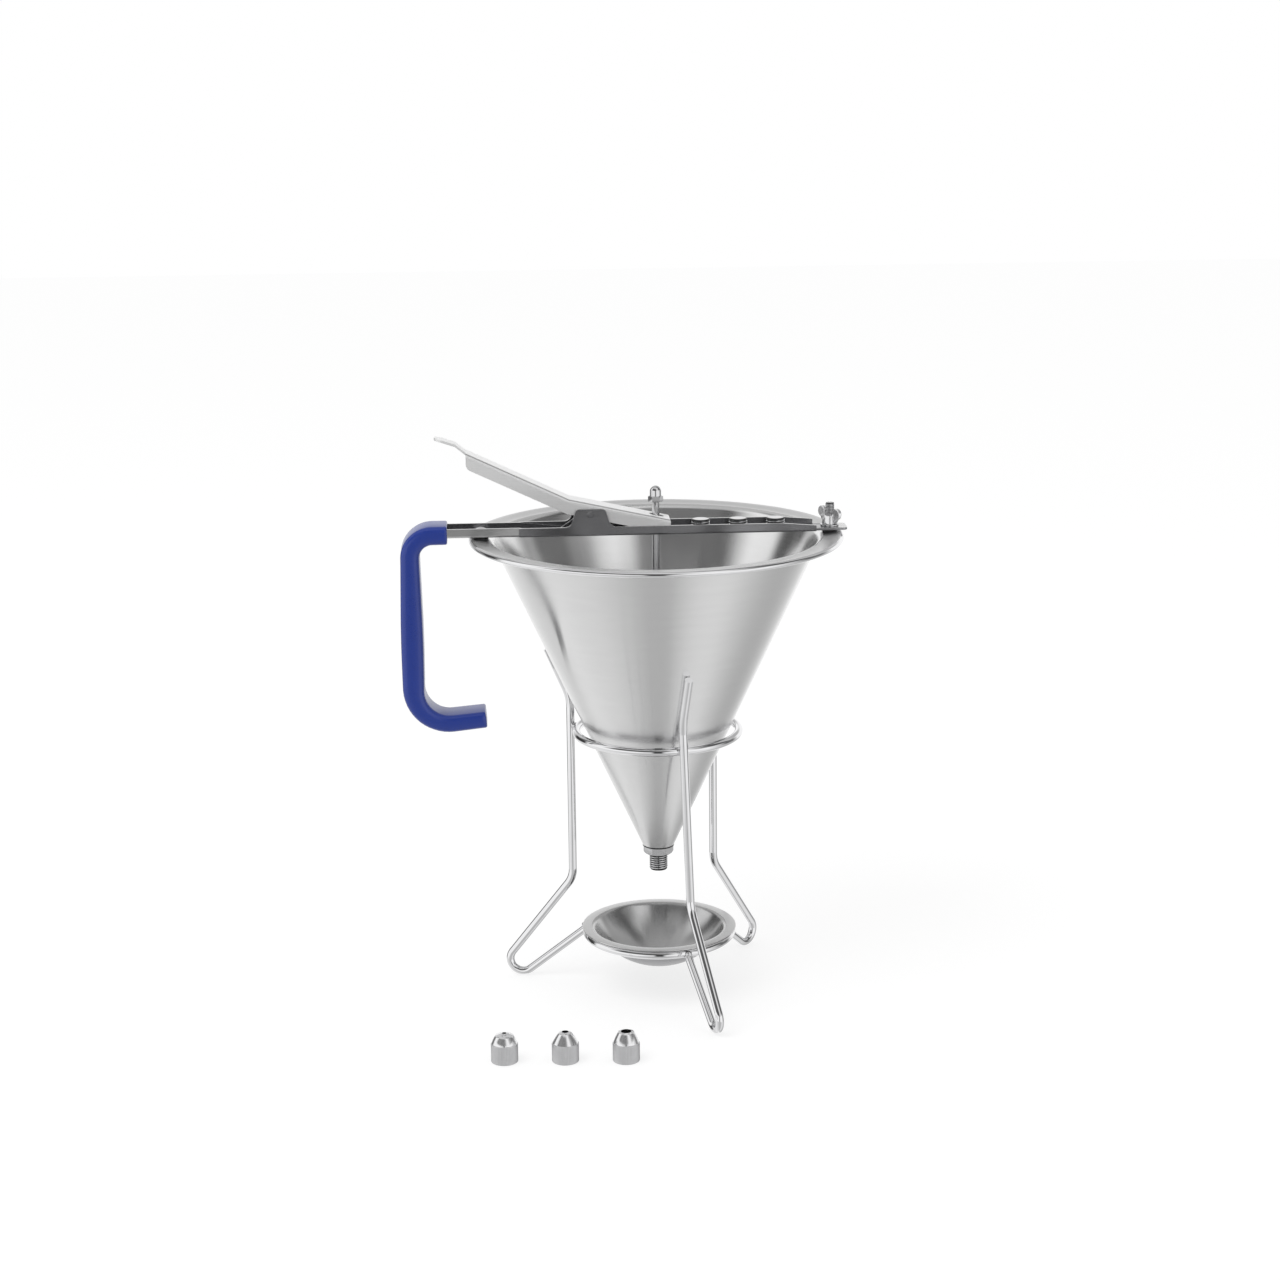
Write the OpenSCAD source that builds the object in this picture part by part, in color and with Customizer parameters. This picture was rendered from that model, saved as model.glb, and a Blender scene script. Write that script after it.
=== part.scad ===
// Confectionery funnel with a lever valve, its wire stand, drip bowl and screw-on nozzles.
// Origin: centre of the open end of the outlet thread. +Z up along the funnel axis,
// +X along the bridge away from the grip. Millimetres.

/* [Funnel] */
// Outer diameter over the rolled bead
rim_d = 200; // [180:1:230]
// Height of the bead's top above the outlet's open end
rim_h = 187.8; // [170:0.1:220]
// Diameter of the rolled bead at the rim's edge
bead_d = 3; // [2:0.1:4]
// Drop from the bead's top to the flat flange
flange_drop = 0.8; // [0.2:0.1:1.2]
// Width of the flange, from the cone's slope to the bead's outer edge
flange_w = 13.1; // [12:0.1:18]
// Radius of the bend between the cone and the flange
mouth_bend_r = 4; // [2:0.5:6]
// Outside diameter of the cone at its lower end
neck_d = 17.2; // [15:0.1:20]
// Thickness of the funnel's sheet
sheet_t = 1; // [0.6:0.1:1.4]

/* [Outlet] */
// Diameter over the threads that carry the nozzles
thread_d = 10; // [8:0.5:12]
// Length of the outlet's thread
outlet_thread_len = 9.3; // [7:0.1:12]
// Diameter of the outlet's bore
outlet_bore_d = 6; // [4:0.1:7]
// Width across the flats of the outlet's collar
collar_af = 14.2; // [13:0.1:18]
// Height of the outlet's collar
collar_h = 5; // [3:0.1:8]
// Height of the welded neck inside the cone
outlet_neck_h = 3.8; // [2:0.1:6]
// Half angle of the valve seat, in degrees
seat_angle = 30; // [25:1:40]
// Height of the seat's lower edge above the outlet's open end
seat_z = 12; // [8:0.1:13]

/* [Valve rod] */
// Diameter of the valve rod
rod_d = 4; // [3:0.1:5]
// Height of the rod's top above the rim
rod_rise = 21.2; // [18:0.1:26]
// Diameter of the valve cone
valve_d = 11; // [9:0.1:12]
// Length of the valve cone's straight part
valve_land = 2.2; // [1:0.1:4]
// Depth of the rod in the valve cone
valve_socket = 7; // [4:0.1:8]
// Diameter of the valve cone's nose
valve_nose_d = 4; // [3:0.1:5]
// Depth of the rod in the cap nut
cap_nut_depth = 4; // [3:0.1:5]
// Width across the flats of the cap nut
cap_nut_af = 7; // [6:0.1:8]
// Height of the cap nut's hexagon
cap_nut_h = 3.2; // [2:0.1:4]
// Diameter of the cap nut's dome
cap_dome_d = 6.2; // [5.5:0.1:6.5]
// Height of the cap nut's straight part under the dome
cap_dome_h = 2.3; // [1:0.1:4]

/* [Bridge] */
// Outside width of the bridge channel
bridge_w = 19.8; // [18.4:0.1:24]
// Thickness of the bridge's sheet
bridge_t = 1.3; // [1:0.1:1.6]
// Height of the channel's walls with the floor
bridge_h = 4.9; // [4:0.1:7]
// Height of the walls at the clamped end
bridge_end_h = 3.4; // [2.5:0.1:4]
// Distance from the hook stud to the start of the channel
bridge_start = 20.2; // [14:0.1:28]
// Length of the taper near the clamped end
taper_len = 18; // [10:0.5:19]
// Distance from the end of the channel's walls to the clamp stud
bridge_stop = 8.2; // [7.2:0.1:13]
// Reach of the flat tab past the clamp stud
tab_reach = 8.8; // [6:0.1:17]
// Width of the flat tab
tab_w = 14; // [12:0.1:17]
// Radius of the tab's corners
tab_corner_r = 2.5; // [1:0.5:5]
// Height of the pivot ears above the channel's underside
ear_h = 14.6; // [14:0.1:18]
// Width of the ears at the top
ear_top_w = 15.4; // [12:0.1:18]
// Spread of each ear's side from the top to the wall
ear_flare = 3; // [1:0.1:5]
// Radius of the ears' upper corners
ear_corner_r = 2.5; // [1:0.1:4]
// Radius of the fillets at the ears' feet
ear_fillet_r = 4; // [2:0.1:6]
// Thickness of the pads between the bridge and the flange
pad_t = 1.8; // [1:0.1:3]
// Diameter of the pads
pad_d = 7.8; // [7:0.1:8]
// Distance from the rim's outer edge to the hook stud and the clamp stud
stud_inset = 6.8; // [6:0.1:7.4]

/* [Storage studs] */
// Distance from the axis to the first storage stud
storage_x0 = 24; // [22:0.1:28]
// Distance from one storage stud to the next
storage_pitch = 20; // [16:0.1:20.5]
// Height of the storage studs above the channel's floor
storage_h = 5.1; // [4.5:0.1:9]

/* [Clamp and hook] */
// Diameter of the hook stud's shank
hook_d = 4; // [3:0.1:5]
// Diameter of the hook stud's domed head
hook_head_d = 9; // [8:0.1:10]
// Height of the domed head
hook_head_h = 3; // [1.5:0.1:3.4]
// Length of the slot that slides under the head
hook_slot_len = 9; // [7:0.1:11]
// Diameter of the clamp stud
clamp_d = 5; // [4:0.1:5.4]
// Height of the clamp stud above the tab
clamp_h = 12.6; // [10:0.1:16]
// Diameter of the washer under the wing nut
washer_d = 10; // [9:0.1:11]
// Thickness of the washer under the wing nut
washer_t = 0.9; // [0.6:0.1:1.5]
// Diameter of the wing nut's hub at its foot
wing_hub_d = 8.6; // [8:0.1:10]
// Diameter of the wing nut's hub at its top
wing_hub_top_d = 7.2; // [6.8:0.1:8]
// Height of the wing nut's hub
wing_hub_h = 5; // [4:0.1:7]
// Span over the wings
wing_span = 18.4; // [17:0.1:24]
// Height over the wings
wing_h = 9; // [8:0.1:13]
// Radius of the wings' round ends
wing_end_r = 3; // [2:0.1:4]
// Thickness of the wings
wing_t = 2; // [1.5:0.1:2.5]
// Turn of the wings from the bridge's line, in degrees
wing_turn = -60; // [-90:1:90]

/* [Lever] */
// Distance from the axis to the lever's pivot, towards the grip
pivot_x = 35; // [32:0.1:38]
// Height of the pivot above the channel's underside
pivot_h = 11.6; // [11:0.1:12.5]
// Diameter of the pivot pin
pivot_d = 3; // [2.5:0.1:3.5]
// Gap on each side of the lever inside the bridge
lever_side_gap = 0.4; // [0.3:0.1:1]
// Thickness of the lever's sheet
lever_t = 1.3; // [1:0.1:1.5]
// Height of the lever over its flanges
lever_h = 7.4; // [6:0.1:8]
// Distance from the pivot to the lever's bend, along the bridge
lever_bend_x = 11.2; // [10:0.1:13]
// Height of the lever's bend above the pivot
lever_bend_h = 7.9; // [6.5:0.1:8.4]
// Downward slope of the short arm, in degrees
short_arm_angle = 12.6; // [9:0.1:13.5]
// Upward slope of the long arm, in degrees
long_arm_angle = 25.4; // [22:0.1:30]
// Reach of the short arm past the pivot, along the bridge
short_arm_x = 42.5; // [41.5:0.1:48]
// Reach of the flanged long arm past the pivot, along the bridge
long_arm_x = 65.2; // [55:0.1:70]
// Length of the thumb plate past the flanges, along the bridge
thumb_len = 16.5; // [12:0.1:26]
// Rise of the thumb plate over the long arm's line
thumb_rise = 1.9; // [0:0.1:3]
// Width of the thumb plate
thumb_w = 10; // [9.2:0.1:15]
// Radius of the thumb plate's corners
thumb_corner_r = 4.5; // [2:0.5:6]
// Radius of the lug round the pivot pin
lug_r = 4; // [3.5:0.1:4.3]
// Width of the slot for the rod
rod_slot_w = 4.8; // [4.6:0.1:6]
// Length of the slot for the rod
rod_slot_len = 7.8; // [7.6:0.1:9]

/* [Return spring] */
// Diameter of the spring's wire
spring_wire_d = 0.9; // [0.6:0.1:1]
// Mean diameter of the spring's coils
spring_d = 4.8; // [4.6:0.1:5.2]
// Distance from one coil to the next
spring_pitch = 1.5; // [1.4:0.1:1.8]
// Full turns of the spring
spring_turns = 4; // [3:1:5]
// Slope of the spring's lower leg, in degrees
spring_low_slope = 35; // [30:1:45]
// Length of the spring's upper leg
spring_leg_len = 16; // [12:0.5:20]

/* [Handle] */
// Length over which the bar's walls run out inside the channel
bar_runout = 23; // [15:0.5:23]
// Distance from the hook stud to the open end of the grip
grip_clear = 17.8; // [13:0.1:20]
// Distance from the grip's open end to the middle of its upright
grip_setback = 20; // [17:0.5:29]
// Height of the grip's foot below the bar, between middles
grip_drop = 104.8; // [90:0.2:125]
// Reach of the grip's foot from its upright
grip_foot = 38.5; // [30:0.5:50]
// Rise of the grip's foot towards its free end
grip_foot_rise = 3.8; // [0:0.1:6]
// Depth of the grip, across the bridge
grip_depth = 22; // [20.5:0.1:26]
// Thickness of the grip where it holds the bar
grip_top_t = 9.8; // [9.2:0.1:12]
// Thickness of the grip's upright
grip_mid_t = 12; // [10:0.1:14]
// Thickness of the grip's foot
grip_foot_t = 9.4; // [8:0.1:12]
// Radius of the grip's upper bend, at its middle
grip_top_r = 12; // [9:0.5:16]
// Radius of the grip's lower bend, at its middle
grip_foot_r = 19; // [12:0.5:26]
// Radius of the grip's rounded edges
grip_edge_r = 2.6; // [1:0.1:3.5]
// Width of the steel strip inside the grip
core_w = 14; // [10:0.5:16]
// Thickness of the steel strip inside the grip
core_t = 2.4; // [1.5:0.1:3]

/* [Stand] */
// Diameter of the stand's wire
wire_d = 4.5; // [3.5:0.1:5.5]
// Distance from the cone to the middle of the upper ring's wire, at the ring's height
upper_ring_gap = 5.7; // [4:0.1:9]
// Height of the upper ring's middle above the outlet's open end
upper_ring_z = 78.9; // [70:0.1:84]
// Distance from the bowl's edge to the middle of the lower ring's wire
lower_ring_inset = 2.6; // [2.4:0.1:4]
// Height of the outlet's open end above the table
stand_clear = 67.5; // [62:0.1:80]
// Depth from the outlet's open end to the knees of the legs
knee_z = 8; // [0:0.5:14]
// Radius of the knees
knee_r = 14; // [8:0.5:20]
// Height of the arms' tops above the outlet's open end
arm_top = 122; // [110:0.5:135]
// Radius of the bend under each arm
arm_bend_r = 25; // [15:1:35]
// Distance from the axis to the middle of each foot's bend
foot_reach = 78.4; // [70:0.1:90]
// Radius of each foot's bend, at the wire's middle
foot_bend_r = 7; // [5:0.1:10]
// Direction of the front leg, in degrees from the bridge's line
front_leg_angle = -73.5; // [-80:0.5:-60]
// Direction of the right leg, in degrees from the bridge's line
right_leg_angle = 47; // [40:0.5:60]
// Direction of the left leg, in degrees from the bridge's line
left_leg_angle = 164.5; // [160:0.5:180]
// Sideways lean of the front leg, in degrees
front_leg_lean = 2.2; // [-3:0.1:3]

/* [Drip bowl] */
// Outer diameter of the bowl's flange
bowl_d = 84.8; // [83:0.2:86]
// Width of the bowl's flange
bowl_flange_w = 6.4; // [6.1:0.1:9]
// Depth of the bowl inside
bowl_depth = 21; // [12:0.5:26]
// Thickness of the bowl's sheet
bowl_t = 0.8; // [0.6:0.1:1]
// Depth from the outlet's open end to the bowl's flange
bowl_drop = 32.6; // [28:0.1:36]
// Radius of the bend between the bowl and its flange
bowl_bend_r = 2; // [1:0.1:3]

/* [Nozzles] */
// Diameter of the nozzles
nozzle_d = 14; // [13:0.1:16]
// Height of the nozzles' knurled part
nozzle_grip_h = 10.3; // [9:0.1:12]
// Heights of the small, medium and large nozzle over the nose
nozzle_heights = [15.5, 16, 16]; // [14.5:0.1:18]
// Diameters of the noses at their tops
nozzle_tops = [7.6, 6.4, 8.2]; // [6:0.1:9]
// Depth of the nozzles' thread
nozzle_thread_depth = 9.5; // [8:0.1:11]
// Openings of the small, medium and large nozzle
nozzle_holes = [1.8, 3, 5]; // [1:0.1:5.4]
// Distance from one nozzle to the next on the table
nozzle_pitch = 31.4; // [18:0.1:40]
// Distance from the axis to the last nozzle, towards the grip
nozzle_x = 17.7; // [10:0.1:30]
// Distance from the axis to the row of nozzles, towards the front
nozzle_y = 108.6; // [100:0.1:130]
// Turn of the row of nozzles from the bridge's line, in degrees
nozzle_turn = -3.5; // [-10:0.5:10]

/* [Fits] */
// Gap between the funnel and the stand's arms, and between the bowl and its ring
rest_gap = 0.3; // [0.2:0.05:0.5]
// Gap between pieces that are welded or pressed face to face
seam_gap = 0.05; // [0.02:0.01:0.08]
// Radial clearance of shafts and threads in their holes
shaft_gap = 0.05; // [0.03:0.01:0.08]
// Gap between the valve cone and its seat when it is shut
valve_gap = 0.3; // [0.2:0.05:0.4]

/* [Hidden] */
$fn = 64;

steel = "#c9cbcd";
dark_steel = "#9ea1a4";
bright_steel = "#e4e6e8";
grip_blue = "#24409a";
pad_black = "#202022";
overshoot = 0.5;
arc_steps = 6;

bead_r = bead_d / 2;
mouth_d = rim_d - 2 * flange_w;
stud_reach = rim_d / 2 - stud_inset;
rod_top = rim_h + rod_rise;
cap_nut_z = rod_top - cap_nut_depth;
bridge_x0 = bridge_start - stud_reach;
bridge_x1 = stud_reach - bridge_stop;
taper_x = bridge_x1 - taper_len;
tab_x = stud_reach + tab_reach;
grip_x = stud_reach + grip_clear;
grip_reach = grip_x + grip_setback;
bowl_mouth_d = bowl_d - 2 * bowl_flange_w;
lower_ring_r = bowl_d / 2 - lower_ring_inset;
flange_z = rim_h - flange_drop;
collar_top = outlet_thread_len + collar_h;
neck_r = neck_d / 2;
mouth_r = mouth_d / 2;
neck_inner_r = neck_r - sheet_t / cos(cone_angle());
cone_top = flange_z;
upper_ring_r = cone_outer_r(upper_ring_z) + upper_ring_gap;

bridge_z = flange_z + pad_t;
bar_w = bridge_w - 2 * bridge_t - 2 * seam_gap;
lever_w = bridge_w - 2 * bridge_t - 2 * lever_side_gap;
floor_z = bridge_z + bridge_t;
wall_z = bridge_z + bridge_h;
pivot_z = bridge_z + pivot_h;
ear_top = bridge_z + ear_h;
grip_z = bridge_z + bridge_h / 2 - 0.85;
table_z = -stand_clear;
bar_end_x = -grip_reach + grip_top_r + 1;
core_start_inset = 2;
core_end_inset = 6;
grip_bend_steps = 8;
grip_edge_steps = 3;
grip_end_r = 0.8;
arm_overlap = 0.6;
join_step = 0.05;
bend_swell = 0.01;
bend_overlap = 0.2;
bowl_steps = 14;
flange_end_r = 4;
stud_foot_r = 2;
bush_shank_r = rod_d / 2 + 1.1;
bush_head_r = rod_d / 2 + 2;
bush_head_h = 1.2;
foot_z = table_z + wire_d / 2;
leg_r = upper_ring_r + wire_d + seam_gap;
lower_ring_z = -bowl_drop - bowl_t - rest_gap - wire_d / 2;

// Half angle of the cone: its wall's inside runs from the neck to the mouth.
function cone_angle(guess = 24, n = 6) =
    n == 0 ? guess : cone_angle(
        atan((mouth_r - neck_r + sheet_t / cos(guess)) / (rim_h - flange_drop - outlet_thread_len - collar_h)),
        n - 1
    );

// Inside radius of the cone at a height.
function cone_inner_r(z) = mouth_r - (cone_top - z) * tan(cone_angle());

// Outside radius of the cone at a height.
function cone_outer_r(z) = cone_inner_r(z) + sheet_t / cos(cone_angle());

// Points on an arc, in a plane.
function arc(centre, r, a0, a1, n = arc_steps) =
    [for (i = [0:n]) centre + r * [cos(a0 + (a1 - a0) * i / n), sin(a0 + (a1 - a0) * i / n)]];

function unit(v) = v / norm(v);

// Corner of a path, rounded: its start, end, centre and the angles of its arc.
function corner(a, b, c, r) =
    let (
        u = unit(a - b),
        v = unit(c - b),
        half = acos(u * v) / 2,
        run = r / tan(half),
        centre = b + unit(u + v) * r / sin(half),
        p = b + u * run,
        q = b + v * run,
        a0 = atan2(p[1] - centre[1], p[0] - centre[0]),
        a1 = atan2(q[1] - centre[1], q[0] - centre[0]),
        turn = a1 - a0 > 180 ? a1 - a0 - 360 : (a1 - a0 < -180 ? a1 - a0 + 360 : a1 - a0)
    )
    [p, q, centre, a0, turn, r];

// Points of a path with its inner corners rounded.
function round_path(points, radii, n = arc_steps) =
    let (last = len(points) - 1)
    concat(
        [points[0]],
        [
            for (i = [1:1:last - 1])
                let (k = corner(points[i - 1], points[i], points[i + 1], radii[i - 1]))
                each (radii[i - 1] > 0 ? arc(k[2], k[5], k[3], k[3] + k[4], n) : [points[i]])
        ],
        [points[last]]
    );

// Profile drawn in X and Z, extruded across the bridge about its middle.
module across(width) {
    rotate([90, 0, 0])
        translate([0, 0, -width / 2])
            linear_extrude(height = width)
                children();
}

// Slot along X with round ends.
module slot_outline(length, width) {
    polygon(concat(
        arc([(length - width) / 2, 0], width / 2, -90, 90, 12),
        arc([(width - length) / 2, 0], width / 2, 90, 270, 12)
    ));
}

// Hexagonal prism by its width across the flats.
module hexagon(af, h) {
    cylinder(h = h, r = af / sqrt(3), $fn = 6);
}

module funnel_cone() {
    a = cone_angle();
    bend_r = mouth_r + mouth_bend_r * tan((90 - a) / 2);
    bend_z = flange_z - mouth_bend_r;
    edge_r = rim_d / 2 - bead_r;
    color(steel)
        difference() {
            union() {
                rotate_extrude($fn = 128)
                    polygon(concat(
                        [[neck_inner_r, collar_top]],
                        arc([bend_r, bend_z], mouth_bend_r, 180 - a, 90),
                        [[edge_r, flange_z], [edge_r, flange_z - sheet_t]],
                        arc([bend_r, bend_z], mouth_bend_r - sheet_t, 90, 180 - a),
                        [[neck_r, collar_top]]
                    ));
                translate([0, 0, rim_h - bead_r])
                    rotate_extrude($fn = 128)
                        translate([edge_r, 0])
                            circle(r = bead_r, $fn = 32);
            }
            for (side = [-1, 1])
                translate([side * stud_reach, 0, flange_z - sheet_t - overshoot])
                    cylinder(h = sheet_t + 2 * overshoot, r = stud_foot_r + seam_gap);
        }
}

module outlet_fitting() {
    seat_h = collar_top + outlet_neck_h - seat_z;
    bore_r = outlet_bore_d / 2;
    neck_gap = seam_gap / cos(cone_angle());
    color(bright_steel)
        difference() {
            union() {
                cylinder(h = outlet_thread_len, r = thread_d / 2);
                translate([0, 0, outlet_thread_len])
                    intersection() {
                        hexagon(collar_af, collar_h);
                        cylinder(h = collar_h, r1 = collar_af / 2 + 0.2, r2 = collar_af / 2 + 0.2 + collar_h);
                        cylinder(h = collar_h, r1 = neck_r + collar_h + 0.2, r2 = neck_r + 0.2);
                    }
                translate([0, 0, collar_top - overshoot])
                    cylinder(
                        h = outlet_neck_h + overshoot,
                        r1 = cone_inner_r(collar_top) - neck_gap - overshoot * tan(cone_angle()),
                        r2 = cone_inner_r(collar_top + outlet_neck_h) - neck_gap
                    );
            }
            translate([0, 0, -overshoot])
                cylinder(h = seat_z + 2 * overshoot, r = bore_r);
            translate([0, 0, seat_z])
                cylinder(h = seat_h + overshoot, r1 = bore_r, r2 = bore_r + (seat_h + overshoot) * tan(seat_angle));
        }
}

module valve_cone() {
    lift = valve_gap / sin(seat_angle);
    nose_r = valve_nose_d / 2;
    valve_r = valve_d / 2;
    nose_z = seat_z + lift - (outlet_bore_d / 2 - nose_r) / tan(seat_angle);
    land_z = nose_z + (valve_r - nose_r) / tan(seat_angle);
    top_z = land_z + valve_land;
    shoulder_r = rod_d / 2 + 1.5;
    color(bright_steel)
        difference() {
            rotate_extrude()
                polygon([
                    [0, nose_z],
                    [nose_r, nose_z],
                    [valve_r, land_z],
                    [valve_r, top_z],
                    [shoulder_r, top_z + valve_r - shoulder_r],
                    [0, top_z + valve_r - shoulder_r]
                ]);
            translate([0, 0, rod_foot() - seam_gap])
                cylinder(h = 2 * valve_socket, r = rod_d / 2 + shaft_gap);
        }
}

// Height of the rod's lower end, inside the valve cone.
function rod_foot() =
    seat_z + valve_gap / sin(seat_angle) + (valve_d / 2 - outlet_bore_d / 2) / tan(seat_angle)
    + valve_land + valve_d / 2 - rod_d / 2 - 1.5 - valve_socket;

module valve_rod() {
    color(bright_steel)
        translate([0, 0, rod_foot()])
            cylinder(h = rod_top - rod_foot(), r = rod_d / 2);
}

module cap_nut() {
    dome_r = cap_dome_d / 2;
    hex_r = cap_nut_af / sqrt(3);
    color(bright_steel)
        translate([0, 0, cap_nut_z])
            difference() {
                union() {
                    intersection() {
                        hexagon(cap_nut_af, cap_nut_h);
                        cylinder(h = cap_nut_h, r1 = hex_r - 0.4, r2 = hex_r - 0.4 + cap_nut_h);
                        cylinder(h = cap_nut_h, r1 = hex_r - 0.5 + cap_nut_h, r2 = hex_r - 0.5);
                    }
                    cylinder(h = cap_nut_h + cap_dome_h, r = dome_r);
                    translate([0, 0, cap_nut_h + cap_dome_h])
                        sphere(r = dome_r);
                }
                translate([0, 0, -overshoot])
                    cylinder(h = rod_top - cap_nut_z + seam_gap + overshoot, r = rod_d / 2 + shaft_gap);
            }
}

// Outline of the channel from the side: walls, ears and the taper at the clamped end.
module bridge_side() {
    left = -pivot_x - ear_top_w / 2;
    right = -pivot_x + ear_top_w / 2;
    polygon(round_path(
        [
            [bridge_x0, bridge_z],
            [bridge_x0, wall_z],
            [left - ear_flare, wall_z],
            [left, ear_top],
            [right, ear_top],
            [right + ear_flare, wall_z],
            [taper_x, wall_z],
            [bridge_x1, bridge_z + bridge_end_h],
            [bridge_x1, bridge_z]
        ],
        [0.6, ear_fillet_r, ear_corner_r, ear_corner_r, ear_fillet_r, 0, 0.6]
    ));
}

// Cross-section of a channel that is open at the top, in Y and Z.
module channel_section(width, height, t, bend_r) {
    difference() {
        polygon(concat(
            [[width / 2, height]],
            [[-width / 2, height]],
            arc([-width / 2 + bend_r, bend_r], bend_r, 180, 270),
            arc([width / 2 - bend_r, bend_r], bend_r, 270, 360)
        ));
        translate([-width / 2 + t, t])
            square([width - 2 * t, height]);
    }
}

// Channel along X from x0 to x1, standing on its floor's underside.
module channel(x0, x1, width, height, t, bend_r) {
    translate([x0, 0, 0])
        rotate([90, 0, 90])
            linear_extrude(height = x1 - x0)
                channel_section(width, height, t, bend_r);
}

module bridge_channel() {
    color(dark_steel)
        difference() {
            union() {
                intersection() {
                    translate([0, 0, bridge_z])
                        channel(bridge_x0, bridge_x1, bridge_w, ear_h, bridge_t, bridge_t);
                    across(bridge_w + 2 * overshoot)
                        bridge_side();
                }
                translate([bridge_x1 - overshoot, 0, bridge_z])
                    linear_extrude(height = bridge_t)
                        polygon(round_path(
                            [
                                [0, tab_w / 2],
                                [tab_x - bridge_x1 + overshoot, tab_w / 2],
                                [tab_x - bridge_x1 + overshoot, -tab_w / 2],
                                [0, -tab_w / 2]
                            ],
                            [tab_corner_r, tab_corner_r]
                        ));
            }
            translate([0, 0, bridge_z - overshoot])
                cylinder(h = bridge_t + 2 * overshoot, r = bush_shank_r + seam_gap);
            translate([stud_reach, 0, bridge_z - overshoot])
                cylinder(h = bridge_t + 2 * overshoot, r = clamp_d / 2 + 0.3);
            translate([-pivot_x, 0, pivot_z])
                rotate([90, 0, 0])
                    cylinder(h = bridge_w + 2 * overshoot, r = pivot_d / 2 + shaft_gap, center = true);
        }
}

module rod_guide_bush() {
    color("white")
        difference() {
            union() {
                translate([0, 0, bridge_z])
                    cylinder(h = bridge_t + bush_head_h, r = bush_shank_r);
                translate([0, 0, floor_z])
                    cylinder(h = bush_head_h, r = bush_head_r);
            }
            translate([0, 0, bridge_z - overshoot])
                cylinder(h = bridge_t + bush_head_h + 2 * overshoot, r = rod_d / 2 + shaft_gap);
        }
}

module storage_stud(place) {
    chamfer = 0.5;
    color(bright_steel)
        translate([storage_x0 + place * storage_pitch, 0, floor_z])
            union() {
                cylinder(h = storage_h - chamfer, r = thread_d / 2);
                translate([0, 0, storage_h - chamfer])
                    cylinder(h = chamfer, r1 = thread_d / 2, r2 = thread_d / 2 - chamfer);
            }
}

module hook_stud() {
    cap_r = (pow(hook_head_d / 2, 2) + pow(hook_head_h, 2)) / (2 * hook_head_h);
    head_z = floor_z + seam_gap;
    color(bright_steel)
        translate([-stud_reach, 0, 0])
            union() {
                translate([0, 0, flange_z - sheet_t])
                    cylinder(h = head_z - flange_z + sheet_t + overshoot, r = stud_foot_r);
                translate([0, 0, flange_z])
                    cylinder(h = head_z - flange_z + overshoot, r = hook_d / 2);
                intersection() {
                    translate([0, 0, head_z + hook_head_h - cap_r])
                        sphere(r = cap_r);
                    translate([0, 0, head_z])
                        cylinder(h = hook_head_h + overshoot, r = hook_head_d);
                }
            }
}

module clamp_stud() {
    chamfer = 0.5;
    color(bright_steel)
        translate([stud_reach, 0, 0])
            union() {
                translate([0, 0, flange_z - sheet_t])
                    cylinder(h = sheet_t, r = stud_foot_r);
                translate([0, 0, flange_z])
                    cylinder(h = pad_t + bridge_t + clamp_h - chamfer, r = clamp_d / 2);
                translate([0, 0, floor_z + clamp_h - chamfer])
                    cylinder(h = chamfer, r1 = clamp_d / 2, r2 = clamp_d / 2 - chamfer);
            }
}

module pad(side, hole_d) {
    color(pad_black)
        translate([side * stud_reach, 0, flange_z])
            difference() {
                cylinder(h = pad_t, r = pad_d / 2);
                translate([0, 0, -overshoot])
                    cylinder(h = pad_t + 2 * overshoot, r = hole_d / 2 + 2 * shaft_gap);
            }
}

// Middle line of the grip: the bar, the upright and the foot.
function grip_line() = [
    [-grip_x, grip_z],
    [-grip_reach, grip_z],
    [-grip_reach, grip_z - grip_drop],
    [-grip_reach + grip_foot, grip_z - grip_drop + grip_foot_rise]
];

// Middle line of the grip with its bends and with points along the straights.
function grip_points() =
    let (
        line = grip_line(),
        k1 = corner(line[0], line[1], line[2], grip_top_r),
        k2 = corner(line[1], line[2], line[3], grip_foot_r)
    )
    concat(
        [for (i = [0:3]) line[0] + (k1[0] - line[0]) * i / 4],
        arc(k1[2], grip_top_r, k1[3], k1[3] + k1[4], grip_bend_steps),
        [for (i = [1:7]) k1[1] + (k2[0] - k1[1]) * i / 8],
        arc(k2[2], grip_foot_r, k2[3], k2[3] + k2[4], grip_bend_steps),
        [for (i = [1:4]) k2[1] + (line[3] - k2[1]) * i / 4]
    );

// Lengths along a path up to each of its points.
function run_lengths(p, i = 0, sum = 0) =
    i >= len(p) ? [] : concat(
        [i == 0 ? 0 : sum + norm(p[i] - p[i - 1])],
        run_lengths(p, i + 1, i == 0 ? 0 : sum + norm(p[i] - p[i - 1]))
    );

// Thickness of the grip at a part of its length.
function grip_thickness(part) = lookup(part, [
    [0, grip_top_t],
    [0.2, grip_top_t + 0.15 * (grip_mid_t - grip_top_t)],
    [0.3, grip_top_t + 0.5 * (grip_mid_t - grip_top_t)],
    [0.42, grip_top_t + 0.9 * (grip_mid_t - grip_top_t)],
    [0.52, grip_mid_t],
    [0.66, grip_mid_t - 0.15 * (grip_mid_t - grip_foot_t)],
    [0.74, grip_mid_t - 0.6 * (grip_mid_t - grip_foot_t)],
    [0.82, grip_foot_t],
    [1, grip_foot_t - 0.5]
]);

// Ring of the grip's skin, across its middle line, drawn in by an inset.
function grip_ring(p, along, thickness, inset) =
    let (
        out = [-along[1], along[0]],
        half = thickness / 2 - inset,
        side = grip_depth / 2 - inset,
        r = grip_edge_r
    )
    [
        for (q = [0:3])
            for (i = [0:grip_edge_steps])
                let (
                    a = 90 * q + 90 * i / grip_edge_steps,
                    u = (q == 0 || q == 3 ? 1 : -1) * (half - r) + r * cos(a),
                    v = (q < 2 ? 1 : -1) * (side - r) + r * sin(a)
                )
                [p[0] + out[0] * u, v, p[1] + out[1] * u]
    ];

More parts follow.
